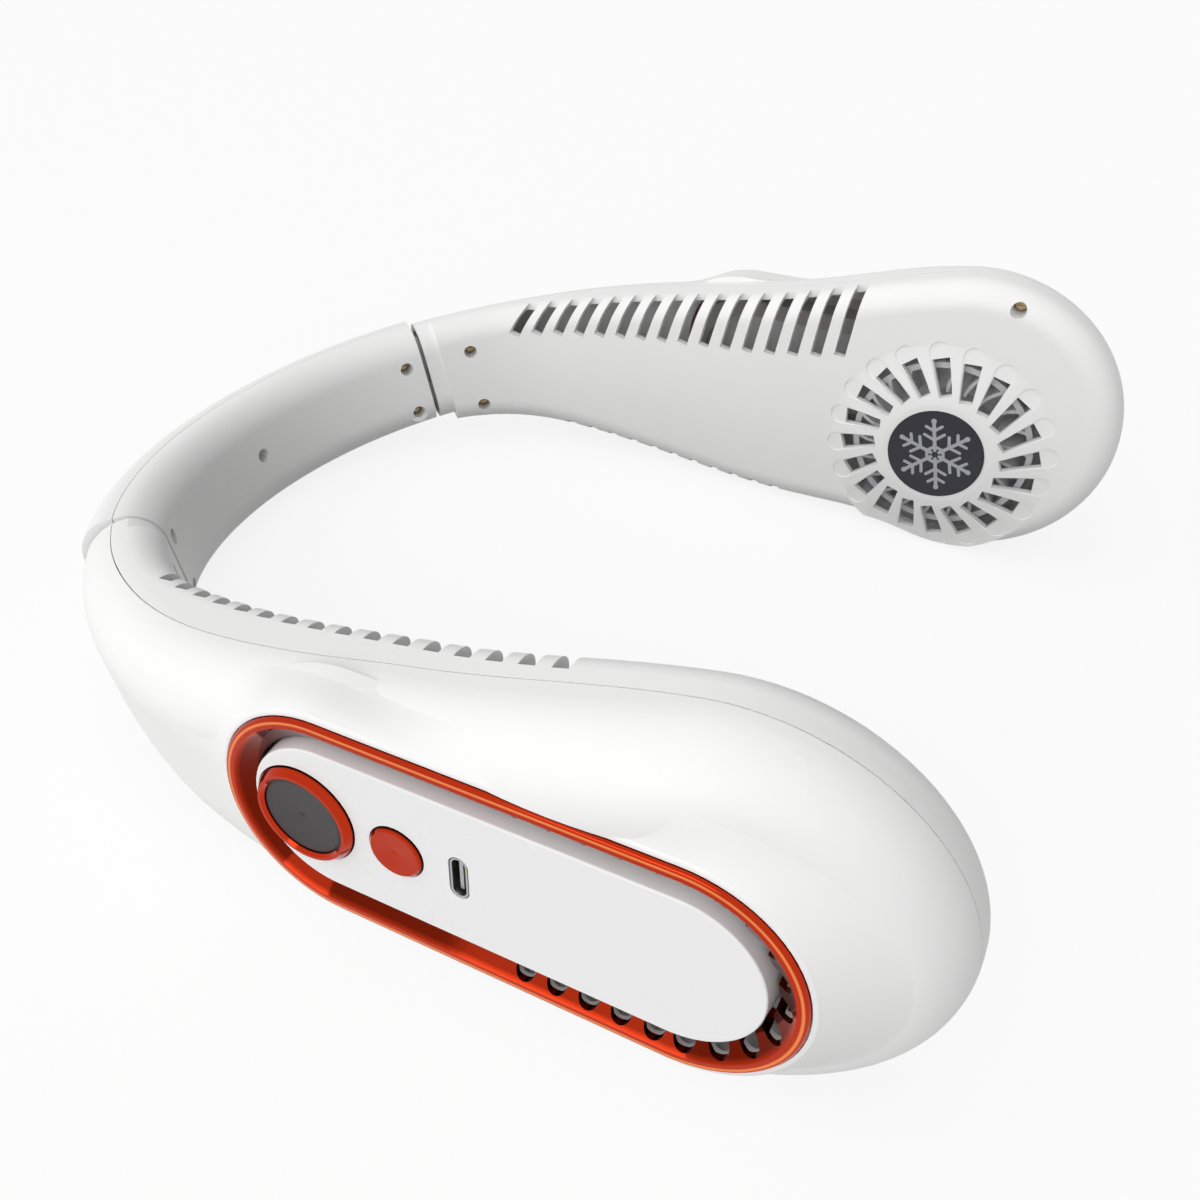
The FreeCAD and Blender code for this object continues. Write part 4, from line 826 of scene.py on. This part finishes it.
class NECKFAN_OT_stage(bpy.types.Operator):
    """Make the floor, the lights and the camera"""
    bl_idname = "neckfan.stage"
    bl_label = "Stage"

    def execute(self, context):
        scene = context.scene
        half = FLOOR_SIZE / 2
        mesh = bpy.data.meshes.new("floor")
        corners = [(-half, -half, 0), (half, -half, 0), (half, half, 0), (-half, half, 0)]
        mesh.from_pydata(corners, [], [(0, 1, 2, 3)])
        mesh.materials.append(studio_floor())
        floor = bpy.data.objects.new("floor", mesh)
        scene.collection.objects.link(floor)
        scene.world = studio_dome()
        softbox("key_softbox", KEY_PLACE, KEY_TARGET, KEY_SIZE, KEY_POWER)
        lens = bpy.data.cameras.new("camera")
        lens.lens = CAMERA_LENS
        lens.sensor_width = SENSOR
        lens.clip_start = NEAR_CLIP
        right = Vector(CAMERA_RIGHT).normalized()
        back = -Vector(CAMERA_AHEAD).normalized()
        up = back.cross(right)
        turn = Matrix((right, up, back)).transposed().to_4x4()
        camera = bpy.data.objects.new("camera", lens)
        camera.matrix_world = Matrix.Translation(CAMERA_PLACE) @ turn
        scene.collection.objects.link(camera)
        scene.camera = camera
        scene.view_settings.view_transform = "Standard"
        return {"FINISHED"}


STEPS = ("shells", "blends", "plating", "works", "crystals", "contacts", "windings", "stage")


class NECKFAN_PT_sidebar(bpy.types.Panel):
    """Sizes, colours and steps of the neck fan"""
    bl_idname = "NECKFAN_PT_sidebar"
    bl_label = "Neck fan"
    bl_space_type = "VIEW_3D"
    bl_region_type = "UI"
    bl_category = "Neck fan"

    def draw(self, context):
        column = self.layout.column()
        for group in (context.scene.fan_colours, context.scene.fan_trim):
            for name in group.bl_rna.properties.keys():
                if name not in ("rna_type", "name"):
                    column.prop(group, name)
        for step in STEPS:
            column.operator("neckfan." + step)


CLASSES = (FanColours, FanTrim, NECKFAN_OT_shells, NECKFAN_OT_blends, NECKFAN_OT_plating,
           NECKFAN_OT_works, NECKFAN_OT_crystals, NECKFAN_OT_contacts, NECKFAN_OT_windings,
           NECKFAN_OT_stage, NECKFAN_PT_sidebar)


def register():
    for item in CLASSES:
        bpy.utils.register_class(item)
    bpy.types.Scene.fan_colours = PointerProperty(type=FanColours)
    bpy.types.Scene.fan_trim = PointerProperty(type=FanTrim)


def unregister():
    del bpy.types.Scene.fan_trim
    del bpy.types.Scene.fan_colours
    for item in reversed(CLASSES):
        bpy.utils.unregister_class(item)


def main():
    register()
    for step in STEPS:
        getattr(bpy.ops.neckfan, step)()


if __name__ == "__main__":
    main()
